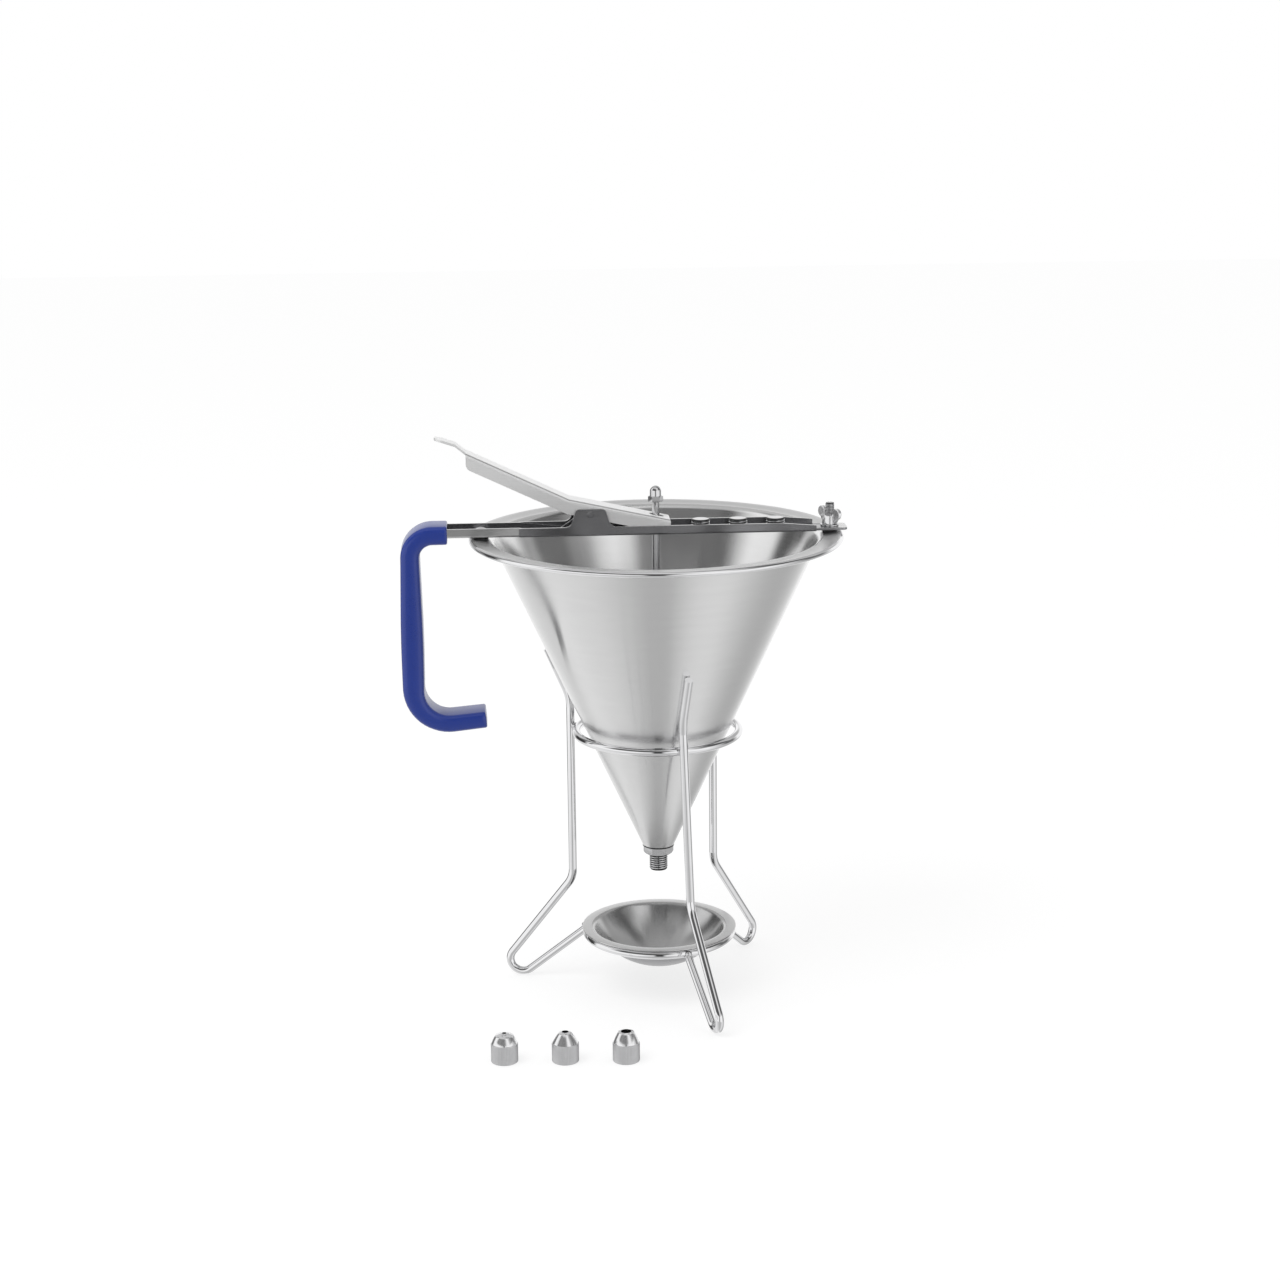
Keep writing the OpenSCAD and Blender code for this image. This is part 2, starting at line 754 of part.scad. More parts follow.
// Skin of the grip: rings along its middle line, with rounded ends.
module grip_skin() {
    p = grip_points();
    n = len(p);
    lengths = run_lengths(p);
    total = lengths[n - 1];
    dirs = [for (i = [0:n - 1]) unit(p[min(i + 1, n - 1)] - p[max(i - 1, 0)])];
    thick = [for (i = [0:n - 1]) grip_thickness(lengths[i] / total)];
    first = [for (e = [[0, 1], [0.3, 0.3]]) grip_ring(p[0] + dirs[0] * e[0], dirs[0], thick[0], e[1] * grip_end_r)];
    start = [grip_ring(p[0] + dirs[0] * grip_end_r, dirs[0], thick[0], 0)];
    middle = [for (i = [1:n - 2]) grip_ring(p[i], dirs[i], thick[i], 0)];
    finish = [grip_ring(p[n - 1] - dirs[n - 1] * grip_end_r, dirs[n - 1], thick[n - 1], 0)];
    last = [
        for (e = [[0.3, 0.3], [0, 1]])
            grip_ring(p[n - 1] - dirs[n - 1] * e[0], dirs[n - 1], thick[n - 1], e[1] * grip_end_r)
    ];
    rings = concat(first, start, middle, finish, last);
    tube(rings);
}

// Closed tube through rings that have equal numbers of points.
module tube(rings) {
    m = len(rings[0]);
    n = len(rings);
    polyhedron(
        points = [for (ring = rings) each ring],
        faces = concat(
            [for (j = [1:m - 2]) [0, j, j + 1]],
            [
                for (i = [0:n - 2])
                    for (j = [0:m - 1])
                        [i * m + j, (i + 1) * m + j, (i + 1) * m + (j + 1) % m]
            ],
            [
                for (i = [0:n - 2])
                    for (j = [0:m - 1])
                        [i * m + j, (i + 1) * m + (j + 1) % m, i * m + (j + 1) % m]
            ],
            [for (j = [1:m - 2]) [(n - 1) * m, (n - 1) * m + j + 1, (n - 1) * m + j]]
        )
    );
}

module handle_bar() {
    inner_x = bridge_x0 + bar_runout;
    color(dark_steel)
        difference() {
            union() {
                translate([0, 0, bridge_z])
                    channel(bar_end_x, bridge_x0 - seam_gap, bar_w, bridge_h, bridge_t, bridge_t);
                for (side = [-1, 1])
                    translate([0, side * (bar_w - bridge_t) / 2, 0])
                        across(bridge_t)
                            polygon([
                                [bridge_x0 - 2, floor_z + seam_gap],
                                [inner_x, floor_z + seam_gap],
                                [inner_x, floor_z + 1],
                                [bridge_x0, wall_z],
                                [bridge_x0 - 2, wall_z]
                            ]);
            }
            translate([-stud_reach, 0, bridge_z - overshoot])
                linear_extrude(height = bridge_t + 2 * overshoot)
                    slot_outline(hook_slot_len + 0.4, hook_d + 0.4);
        }
}

// Side outline of the steel strip inside the grip, made larger by a gap.
module core_outline(gap) {
    line = grip_line();
    lift = floor_z + seam_gap + core_t / 2 - grip_z;
    far = line[3] - unit(line[3] - line[2]) * (core_end_inset - gap);
    near = [-grip_x - core_start_inset + gap, grip_z];
    outer = lift + core_t / 2 + gap;
    inner = lift - core_t / 2 - gap;
    foot = unit([line[3][1] - line[2][1], line[2][0] - line[3][0]]);
    join = [line[2][0], line[2][1]];
    slope = tan(foot_slope());
    polygon(concat(
        round_path(
            [
                near + [0, outer],
                line[1] + [-outer, outer],
                join + [-outer, -outer / cos(foot_slope()) - outer * slope],
                far + foot * outer
            ],
            [grip_top_r + outer, grip_foot_r + outer]
        ),
        round_path(
            [
                far + foot * inner,
                join + [-inner, -inner / cos(foot_slope()) - inner * slope],
                line[1] + [-inner, inner],
                near + [0, inner]
            ],
            [grip_foot_r + inner, grip_top_r + inner]
        )
    ));
}

// Slope of the grip's foot.
function foot_slope() = atan(grip_foot_rise / grip_foot);

module handle_core() {
    color(dark_steel)
        across(core_w)
            core_outline(0);
}

module handle_grip() {
    color(grip_blue)
        difference() {
            grip_skin();
            across(core_w + 2 * seam_gap)
                core_outline(seam_gap);
            translate([0, 0, bridge_z - seam_gap])
                channel(
                    bar_end_x - seam_gap,
                    0,
                    bar_w + 2 * seam_gap,
                    bridge_h + 2 * seam_gap,
                    bridge_t + 2 * seam_gap,
                    bridge_t
                );
        }
}

module pivot_pin() {
    head_r = pivot_d / 2 + 0.3;
    color(bright_steel)
        translate([-pivot_x, 0, pivot_z])
            rotate([90, 0, 0])
                union() {
                    cylinder(h = bridge_w, r = pivot_d / 2, center = true);
                    for (side = [0, 180])
                        rotate([side, 0, 0])
                            translate([0, 0, bridge_w / 2])
                                cylinder(h = 0.5, r1 = head_r, r2 = head_r - 0.4);
                }
}

// Middle of the spring's wire, from its lower leg over the coils to its upper leg. Each point has
// the direction that lies across the wire.
function spring_path() =
    let (
        r = spring_d / 2,
        low_a = 90 + spring_low_slope,
        end = [-spring_leg_len, spring_end_height()],
        high_a = atan2(end[1], end[0]) + acos(r / norm(end)),
        sweep = 360 * spring_turns + (low_a - high_a + 360) % 360,
        steps = ceil(sweep / 45),
        width = spring_pitch * sweep / 360,
        low = r * [cos(low_a), sin(low_a)],
        high = r * [cos(high_a), sin(high_a)],
        low_dir = [cos(low_a + 90), sin(low_a + 90)],
        low_len = (low[1] + pivot_h - bridge_t - spring_wire_d / 2 - rest_gap) / -low_dir[1]
    )
    concat(
        [for (i = [3:-1:1]) spring_point(low + low_dir * low_len * i / 3, -width / 2, low_a)],
        [
            for (i = [0:steps])
                let (a = low_a - sweep * i / steps)
                spring_point(r * [cos(a), sin(a)], width * (i / steps - 0.5), a)
        ],
        [for (i = [1:3]) spring_point(high + (end - high) * i / 3, width / 2, high_a)]
    );

function spring_point(p, y, a) = [[p[0], y, p[1]], [cos(a), 0, sin(a)]];

// Height of the upper leg's end, under the lever's plate.
function spring_end_height() =
    lever_bend_h + (spring_leg_len - lever_bend_x) * tan(long_arm_angle)
    - (lever_t + spring_wire_d / 2 + rest_gap) / cos(long_arm_angle);

// Least gap between two stretches of the spring's wire that lie more than half a turn apart.
function spring_gap() =
    let (p = [for (k = spring_path()) k[0]])
    min([
        for (i = [0:len(p) - 1])
            for (j = [i + 5:1:len(p) - 1])
                norm(p[i] - p[j])
    ]) - spring_wire_d;

echo(least_gap_of_the_spring_to_itself = spring_gap());

module return_spring() {
    color(steel)
        translate([-pivot_x, 0, pivot_z])
            tube([
                for (k = spring_path())
                    [
                        for (j = [0:5])
                            k[0] + spring_wire_d / 2 * (cos(60 * j) * k[1] + [0, sin(60 * j), 0])
                    ]
            ]);
}

// Height of the lever's plate over the pivot at a distance along the bridge.
function arm_h(x) = x > -lever_bend_x
    ? lever_bend_h - (x + lever_bend_x) * tan(short_arm_angle)
    : lever_bend_h - (x + lever_bend_x) * tan(long_arm_angle);

// Side outline of the short arm, from its bend to its round end.
module short_arm_outline(drop) {
    foot = -pivot_h + bridge_t + 0.5;
    fall = drop / cos(short_arm_angle);
    end_x = short_arm_x;
    meet_x = (lever_bend_h - fall - foot) / tan(short_arm_angle) - lever_bend_x;
    knee = -lever_bend_x - drop * tan((long_arm_angle - short_arm_angle) / 2) - arm_overlap;
    polygon(concat(
        [[-lever_bend_x - arm_overlap, arm_h(-lever_bend_x) - 0.05]],
        [[-lever_bend_x, arm_h(-lever_bend_x)]],
        round_path(
            [
                [end_x - 4, arm_h(end_x - 4)],
                [end_x, arm_h(end_x)],
                [end_x, max(foot, arm_h(end_x) - fall)],
                [min(meet_x, end_x - 3.4), max(foot, arm_h(min(meet_x, end_x - 3.4)) - fall)]
            ],
            [1, 3]
        ),
        [[knee, arm_h(-lever_bend_x) - fall]]
    ));
}

// Side outline of the long arm, from its bend to the end of its flanges.
module long_arm_outline(drop) {
    fall = drop / cos(long_arm_angle);
    end_x = -long_arm_x;
    knee = -lever_bend_x - drop * tan((long_arm_angle - short_arm_angle) / 2);
    polygon(concat(
        round_path(
            [
                [-lever_bend_x, arm_h(-lever_bend_x)],
                [end_x, arm_h(end_x)],
                [end_x, arm_h(end_x) - fall],
                [knee, arm_h(knee) - fall]
            ],
            [0, flange_end_r]
        ),
        [[-lever_bend_x, arm_h(-lever_bend_x) - fall + 1]]
    ));
}

// Bar along an arm of the lever with rounded long edges: its top runs through the lever's bend.
module arm_bar(slope, width, drop, r) {
    translate([-lever_bend_x, 0, lever_bend_h])
        rotate([0, slope, 0])
            rotate([90, 0, 90])
                translate([0, 0, -long_arm_x * 1.5])
                    linear_extrude(height = 3 * long_arm_x)
                        polygon(concat(
                            [[width / 2, -drop - 2]],
                            arc([width / 2 - r, -r], r, 0, 90),
                            arc([-width / 2 + r, -r], r, 90, 180),
                            [[-width / 2, -drop - 2]]
                        ));
}

// Both arms of the lever as one body: its outside, or its inside when the sheet is left out.
module lever_arms(width, r) {
    union() {
        intersection() {
            arm_bar(short_arm_angle, width, lever_h, r);
            across(width + 1)
                short_arm_outline(lever_h);
        }
        intersection() {
            arm_bar(long_arm_angle, width, lever_h, r);
            across(width + 1)
                long_arm_outline(lever_h);
        }
    }
}

module lever() {
    slot_x = pivot_x + 0.4;
    tip_x = -long_arm_x - thumb_len;
    inner_w = lever_w - 2 * lever_t;
    color(steel)
        translate([-pivot_x, 0, pivot_z])
            difference() {
                union() {
                    lever_arms(lever_w, lever_t + 0.5);
                    rotate([90, 0, 0])
                        cylinder(h = lever_w - 2 * join_step, r = lug_r, center = true);
                    intersection() {
                        across(thumb_w)
                            polygon(concat(
                                thumb_line(-join_step),
                                [for (i = [4:-1:0]) thumb_line(join_step - lever_t / cos(long_arm_angle))[i]]
                            ));
                        linear_extrude(height = 200, center = true)
                            polygon(round_path(
                                [
                                    [-long_arm_x + 8, thumb_w / 2],
                                    [tip_x, thumb_w / 2],
                                    [tip_x, -thumb_w / 2],
                                    [-long_arm_x + 8, -thumb_w / 2]
                                ],
                                [thumb_corner_r, thumb_corner_r]
                            ));
                    }
                }
                across(inner_w)
                    polygon([
                        [-long_arm_x - 1, arm_h(-long_arm_x - 1) - lever_t / cos(long_arm_angle)],
                        [-lever_bend_x, lever_bend_h - lever_t / cos(long_arm_angle)],
                        [short_arm_x - lever_t, arm_h(short_arm_x - lever_t) - lever_t / cos(short_arm_angle)],
                        [short_arm_x - lever_t, -3 * lever_h],
                        [-long_arm_x - 1, -3 * lever_h]
                    ]);
                rotate([90, 0, 0])
                    cylinder(h = lever_w + 2 * overshoot, r = pivot_d / 2 + shaft_gap + 0.01, center = true);
                translate([slot_x, 0, -lever_h])
                    linear_extrude(height = 3 * lever_h)
                        slot_outline(rod_slot_len, rod_slot_w);
            }
}

// Top line of the thumb plate, raised by a height.
function thumb_line(up) = [
    for (part = [-0.4, 0, 0.33, 0.75, 1])
        let (x = -long_arm_x - part * thumb_len)
        [x, arm_h(x) + up + thumb_rise * lookup(part, [[-0.4, 0], [0, 0], [0.33, 1], [0.75, 0.5], [1, 0]])]
];

module clamp_washer() {
    color(steel)
        translate([stud_reach, 0, floor_z])
            difference() {
                cylinder(h = washer_t, r = washer_d / 2);
                translate([0, 0, -overshoot])
                    cylinder(h = washer_t + 2 * overshoot, r = clamp_d / 2 + 2 * shaft_gap);
            }
}

module wing_nut() {
    foot = floor_z + washer_t + seam_gap;
    wing_x = wing_span / 2 - wing_end_r;
    wing_z = wing_h - wing_end_r;
    color(steel)
        translate([stud_reach, 0, foot])
            rotate([0, 0, wing_turn])
                difference() {
                    union() {
                        cylinder(h = wing_hub_h, r1 = wing_hub_d / 2, r2 = wing_hub_top_d / 2);
                        for (side = [0, 180])
                            rotate([0, 0, side])
                                across(wing_t)
                                    union() {
                                        translate([wing_x, wing_z])
                                            circle(r = wing_end_r);
                                        polygon([
                                            [2, 0.4],
                                            [wing_hub_d / 2 + 0.6, 0.4],
                                            [wing_x + wing_end_r, wing_z],
                                            [wing_x - wing_end_r, wing_z],
                                            [wing_hub_top_d / 2 - 0.4, wing_hub_h],
                                            [2, wing_hub_h]
                                        ]);
                                    }
                    }
                    translate([0, 0, -overshoot])
                        cylinder(h = wing_hub_h + 2 * overshoot, r = clamp_d / 2 + shaft_gap);
                    translate([0, 0, wing_hub_h])
                        cylinder(h = wing_h, r = clamp_d / 2 + 0.3);
                }
}

module wire_ring(r, z) {
    color(bright_steel)
        translate([0, 0, z])
            rotate_extrude($fn = 96)
                translate([r, 0])
                    circle(r = wire_d / 2, $fn = 32);
}

// Straight wire between two points, run a little way into the bends at its ends.
module wire_run(p, q, into_start, into_end) {
    run = q - p;
    from = p - unit(run) * into_start;
    translate([from[0], from[1], 0])
        rotate([0, 0, atan2(run[1], run[0])])
            rotate([0, 90, 0])
                cylinder(h = norm(run) + into_start + into_end, r = wire_d / 2);
}

// Bent wire, a hair thicker than the straight one so that the two join cleanly.
module wire_bend(centre, r, from, turn) {
    translate([centre[0], centre[1], 0])
        rotate([0, 0, from])
            rotate_extrude(angle = turn, $fn = 96)
                translate([r, 0])
                    circle(r = wire_d / 2 + bend_swell);
}

// Wire along a path in the X-Z plane with its inner corners bent.
module wire_path(points, radii, end_overlap) {
    last = len(points) - 1;
    k = [for (i = [1:1:last - 1]) corner(points[i - 1], points[i], points[i + 1], radii[i - 1])];
    starts = concat([points[0]], [for (c = k) c[1]]);
    ends = concat([for (c = k) c[0]], [points[last]]);
    for (i = [0:last - 1])
        wire_run(starts[i], ends[i], i > 0 ? bend_overlap : 0, i < last - 1 ? bend_overlap : end_overlap);
    for (c = k)
        wire_bend(c[2], c[5], min(c[3], c[3] + c[4]), abs(c[4]));
}

module leg(dir, lean) {
    a = cone_angle();
    off = (wire_d / 2 + rest_gap) / cos(a);
    arm_r = cone_outer_r(arm_top) + off;
    bend_z = arm_top - (arm_r - leg_r) / tan(a);
    centre = [foot_reach, foot_z + foot_bend_r];
    ring = [lower_ring_r, lower_ring_z];
    knee = [leg_r, -knee_z];
    to_knee = knee - centre;
    to_ring = ring - centre;
    up = atan2(to_knee[1], to_knee[0]) - acos(foot_bend_r / norm(to_knee));
    down = atan2(to_ring[1], to_ring[0]) + acos(foot_bend_r / norm(to_ring));
    p_up = centre + foot_bend_r * [cos(up), sin(up)];
    p_down = centre + foot_bend_r * [cos(down), sin(down)];
    meet = ring + unit(p_down - ring) * (wire_d / 2 + seam_gap);
    color(bright_steel)
        rotate([0, 0, dir])
            rotate([lean + 90, 0, 0])
                union() {
                    wire_path([[arm_r, arm_top], [leg_r, bend_z], knee, p_up], [arm_bend_r, knee_r], bend_overlap);
                    wire_run(p_down, meet, bend_overlap, 0);
                    wire_bend(centre, foot_bend_r, down, up - down + 360 * (up < down ? 1 : 0));
                }
}

module drip_bowl() {
    r = bowl_mouth_d / 2;
    cap_r = (r * r + bowl_depth * bowl_depth) / (2 * bowl_depth);
    centre_z = cap_r - bowl_depth;
    outer_r = cap_r + bowl_t;
    edge = asin(r / cap_r);
    outer_edge = acos((centre_z + bowl_t) / outer_r);
    outside = [for (i = [1:bowl_steps]) outer_edge * i / bowl_steps];
    inside = [for (i = [bowl_steps:-1:1]) edge * i / bowl_steps];
    straight = [for (i = [2:bowl_steps]) 0];
    color(steel)
        translate([0, 0, -bowl_drop])
            rotate_extrude($fn = 96)
                polygon(concat(
                    round_path(
                        concat(
                            [[0, centre_z - outer_r]],
                            [for (a = outside) [outer_r * sin(a), centre_z - outer_r * cos(a)]],
                            [[bowl_d / 2, -bowl_t]]
                        ),
                        concat(straight, [bowl_bend_r])
                    ),
                    round_path(
                        concat(
                            [[bowl_d / 2, 0]],
                            [for (a = inside) [cap_r * sin(a), centre_z - cap_r * cos(a)]],
                            [[0, -bowl_depth]]
                        ),
                        concat([bowl_bend_r + bowl_t], straight)
                    )
                ));
}

module nozzle(place) {
    height = nozzle_heights[place];
    hole_r = nozzle_holes[place] / 2;
    top_r = nozzle_tops[place] / 2;
    edge = 0.3;
    color(steel)
        rotate([0, 0, nozzle_turn])
            translate([-nozzle_x - (2 - place) * nozzle_pitch, -nozzle_y, table_z])
                difference() {
                    union() {
                        cylinder(h = nozzle_grip_h, r = nozzle_d / 2);
                        translate([0, 0, nozzle_grip_h])
                            cylinder(h = height - edge - nozzle_grip_h, r1 = nozzle_d / 2 - edge, r2 = top_r);
                        translate([0, 0, height - edge])
                            cylinder(h = edge, r1 = top_r, r2 = top_r - edge);
                    }
                    translate([0, 0, -overshoot])
                        cylinder(h = nozzle_thread_depth + overshoot, r = thread_d / 2 + shaft_gap);
                    translate([0, 0, nozzle_thread_depth])
                        cylinder(h = 2.5, r1 = thread_d / 2 - 1, r2 = hole_r);
                    translate([0, 0, nozzle_thread_depth])
                        cylinder(h = height, r = hole_r);
                }
}

funnel_cone();
outlet_fitting();
hook_stud();
clamp_stud();
pad(-1, hook_d);  // pad_left
pad(1, clamp_d);  // pad_right
bridge_channel();
rod_guide_bush();
storage_stud(0);  // storage_stud_1
storage_stud(1);  // storage_stud_2
storage_stud(2);  // storage_stud_3
handle_bar();
handle_core();
handle_grip();
pivot_pin();
return_spring();
lever();
valve_rod();
valve_cone();
cap_nut();
clamp_washer();
wing_nut();
wire_ring(upper_ring_r, upper_ring_z);  // stand_upper_ring
wire_ring(lower_ring_r, lower_ring_z);  // stand_lower_ring
leg(front_leg_angle, front_leg_lean);  // leg_front
leg(right_leg_angle, 0);  // leg_right
leg(left_leg_angle, 0);  // leg_left
drip_bowl();
nozzle(0);  // nozzle_small
nozzle(1);  // nozzle_medium
nozzle(2);  // nozzle_large
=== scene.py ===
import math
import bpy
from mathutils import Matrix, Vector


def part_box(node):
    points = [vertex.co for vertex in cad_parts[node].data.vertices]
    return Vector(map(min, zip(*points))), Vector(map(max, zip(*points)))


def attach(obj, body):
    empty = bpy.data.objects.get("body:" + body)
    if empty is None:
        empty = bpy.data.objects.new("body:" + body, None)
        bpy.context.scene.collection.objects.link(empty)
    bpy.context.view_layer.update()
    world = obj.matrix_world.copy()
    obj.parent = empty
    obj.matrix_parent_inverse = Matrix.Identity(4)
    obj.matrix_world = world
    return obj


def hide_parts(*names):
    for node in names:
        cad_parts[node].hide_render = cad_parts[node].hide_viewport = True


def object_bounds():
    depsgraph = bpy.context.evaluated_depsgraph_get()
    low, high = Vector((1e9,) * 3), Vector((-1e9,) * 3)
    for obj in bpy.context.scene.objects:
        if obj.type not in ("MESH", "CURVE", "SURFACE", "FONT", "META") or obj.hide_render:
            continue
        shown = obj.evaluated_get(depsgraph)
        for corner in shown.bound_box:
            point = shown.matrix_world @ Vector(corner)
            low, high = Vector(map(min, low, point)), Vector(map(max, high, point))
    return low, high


bl_info = {
    "name": "Confectionery Funnel",
    "version": (1, 0, 0),
    "blender": (4, 5, 0),
    "location": "3D View > Sidebar > Funnel",
    "description": "Finishes the pieces of the confectionery funnel and sets its studio",
    "category": "Object",
}

import bpy
from bpy.props import FloatProperty, FloatVectorProperty, IntProperty, PointerProperty
from mathutils import Matrix, Vector

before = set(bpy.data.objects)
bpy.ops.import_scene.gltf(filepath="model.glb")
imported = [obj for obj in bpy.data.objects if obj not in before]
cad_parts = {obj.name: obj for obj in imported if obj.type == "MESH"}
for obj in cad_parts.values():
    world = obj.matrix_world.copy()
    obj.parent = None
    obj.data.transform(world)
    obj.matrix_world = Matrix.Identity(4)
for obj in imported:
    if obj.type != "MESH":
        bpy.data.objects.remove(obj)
CAD_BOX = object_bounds()
MM = 0.001
# Points closer than this become one.
MERGE = 1e-6
# Diameter and depth of the threads that carry the nozzles, and the depth below the crest from which a
# groove's faces get painted shade.
THREAD = 10 * MM
THREAD_DEPTH = 0.5 * MM
GROOVE_DEPTH = 0.3 * MM
# A face looks one way when that part of its normal is greater.
FACING = 0.6


def length(name, description, default):
    """A size in metres, written in millimetres."""
    return FloatProperty(
        name=name,
        description=description,
        default=default * MM,
        unit="LENGTH",
        subtype="DISTANCE",
        precision=5,
    )


def tint(name, description, default):
    """A colour, in linear light."""
    return FloatVectorProperty(
        name=name, description=description, default=default, size=3, min=0, max=1, subtype="COLOR"
    )


# What polished steel sees of the studio, as directions in degrees round the object and their brightness: pale
# panels and dark flags under it, level with it and over it. The camera stands at -90.
LOW_PANELS = (
    (-180, 0.80),
    (-163, 0.78),
    (-137, 0.66),
    (-105, 0.52),
    (-73, 0.52),
    (-43, 0.78),
    (-16, 0.86),
    (6, 0.66),
    (26, 0.50),
    (44, 0.50),
    (61, 0.66),
    (77, 1.0),
    (103, 1.0),
    (119, 0.88),
    (136, 0.72),
    (154, 0.92),
    (180, 0.80),
)
LEVEL_PANELS = (
    (-180, 1.0),
    (-118, 1.0),
    (-99, 0.75),
    (-94, 0.05),
    (-86, 0.02),
    (-85, 0.03),
    (-83, 0.45),
    (-79, 0.90),
    (-60, 1.0),
    (-20, 1.0),
    (0, 0.60),
    (14, 0.15),
    (30, 0.20),
    (44, 1.0),
    (108, 1.0),
    (124, 0.60),
    (132, 0.05),
    (156, 0.05),
    (164, 1.0),
    (180, 1.0),
)
HIGH_PANELS = (
    (-176, 1.0),
    (-165, 0.55),
    (-155, 0.05),
    (-141, 0.14),
    (-116, 0.09),
    (-96, 0.08),
    (-77, 0.22),
    (-66, 0.80),
    (-51, 1.0),
    (-39, 0.80),
    (-27, 0.35),
    (-15, 0.28),
    (-6, 0.10),
    (8, 0.10),
    (20, 0.12),
    (29, 0.60),
    (48, 0.45),
    (115, 0.60),
    (131, 0.60),
    (141, 0.12),
    (151, 0.20),
    (162, 1.0),
)
TOP_PANELS = (
    (-180, 0.60),
    (-100, 0.70),
    (-50, 0.85),
    (-5, 0.75),
    (10, 0.10),
    (40, 0.10),
    (60, 0.45),
    (180, 0.60),
)
# Heights where one row of panels gives way to the next, from 0 straight below to 1 straight above.
PANEL_EDGES = (0.32, 0.62, 0.87)

WHITE = (1, 1, 1, 1)

# Outlines of the weld beads and of the outlet's seam, a thin near-black ring of painted shade between the
# cone and the collar, as radius and height in millimetres.
WELD_OUTLINE = (
    (0, -2.0),
    (0.3, -2.0),
    (1.3, -1.75),
    (1.75, -1.2),
    (1.7, -0.6),
    (1.95, 0.0),
    (1.75, 0.7),
    (1.8, 1.2),
    (1.1, 1.8),
    (0, 2.0),
)
SEAM_SHADE_OUTLINE = (
    (-1.2, -0.9),
    (-0.35, -0.9),
    (0.01, -0.6),
    (0.04, -0.1),
    (-0.1, 0.05),
    (-1.2, 0.05),
    (-1.2, -0.9),
)


# The sizes and the finishes that a user would change.


class FunnelSheetSizes(bpy.types.PropertyGroup):
    """Sizes of the turned sheet: the cone and the bowl."""

    sheet: length("Sheet", "Thickness of the funnel's sheet", 1.0)
    flange: length("Flange", "Width of the flange, from the cone's slope to the bead's outer edge", 13.1)
    bend: length("Mouth bend", "Radius of the bend between the cone and the flange", 4.0)
    bead: length("Bead", "Diameter of the rolled bead at the rim's edge", 3.0)
    drop: length("Flange drop", "Drop from the bead's top to the flange", 0.8)
    neck: length("Neck", "Outside diameter of the cone at its lower end", 17.2)
    bowl_sheet: length("Bowl sheet", "Thickness of the bowl's sheet", 0.8)
    bowl_flange: length("Bowl flange", "Width of the bowl's flange", 6.4)
    bowl_bend: length("Bowl bend", "Radius of the bend between the bowl and its flange", 2.0)


class FunnelDetailSizes(bpy.types.PropertyGroup):
    """Sizes of the threads, the knurls, the grip and the edges."""

    edge: length("Edge", "Radius on the edges of the pressed sheet", 0.25)
    pitch: length("Pitch", "Pitch of the threads that carry the nozzles", 1.25)
    clamp_pitch: length("Clamp pitch", "Pitch of the clamp stud's thread", 0.8)
    clamp_plain: length("Clamp plain", "Length of the clamp stud under its thread", 5.0)
    tab: length("Tab", "Where the bridge's flat tab begins, from the cone's axis", 80.0)
    bore: length("Bore", "Diameter of the outlet's bore", 6.0)
    spigot: length("Spigot", "Length of the outlet's thread", 9.3)
    teeth: IntProperty(name="Teeth", description="Teeth of a nozzle's knurl", default=56, min=20, max=90)
    tooth: length("Tooth", "Depth of the knurl's teeth", 0.22)
    knurl: length("Knurl", "Height of the nozzles' knurled part", 10.3)
    socket: length("Socket", "Depth of the nozzles' thread", 9.5)
    nozzle_tops: FloatVectorProperty(
        name="Noses", description="Diameters of the noses at their tops", default=(0.0096, 0.0070, 0.0086)
    )
    nozzle_crown: FloatVectorProperty(
        name="Crowns", description="Heights of the three domed tops", default=(0.0013, 0.0007, 0.0005)
    )
    nozzle_bulge: length("Nose bulge", "How far the noses bulge at half their height", 0.15)
    nozzle_holes: FloatVectorProperty(
        name="Holes", description="Diameters of the three nozzles' openings", default=(0.0018, 0.003, 0.005)
    )
    leg_turns: FloatVectorProperty(
        name="Legs",
        description="Directions of the three legs round the axis",
        default=tuple(math.radians(a) for a in (-73.5, 47, 164.5)),
        subtype="EULER",
    )
    leg_lean: FloatProperty(name="Lean", description="Front leg's lean to its side, in degrees", default=2.2)
    grip_arm: length("Grip arm", "Distance from the grip's open end to the middle of its upright", 20.0)
    grip_top: length("Grip top", "Thickness of the grip where it holds the bar", 9.8)
    grip_middle: length("Grip middle", "Thickness of the grip's upright", 12.0)
    grip_foot: length("Grip foot", "Thickness of the grip's foot", 9.4)
    grip_drop: length("Grip drop", "Height from the grip's bar to its foot, between middles", 104.8)
    grip_reach: length("Grip reach", "Reach of the grip's foot from its upright", 38.5)
    grip_rise: length("Grip rise", "Rise of the grip's foot towards its end", 3.8)
    grip_bend: length("Grip bend", "Radius of the grip's middle line at its upper bend", 12.0)
    grip_turn: length("Grip turn", "Radius of the grip's middle line at its lower bend", 19.0)
    grip_edge: length("Grip edge", "Radius of the grip's rounded edges", 3.0)


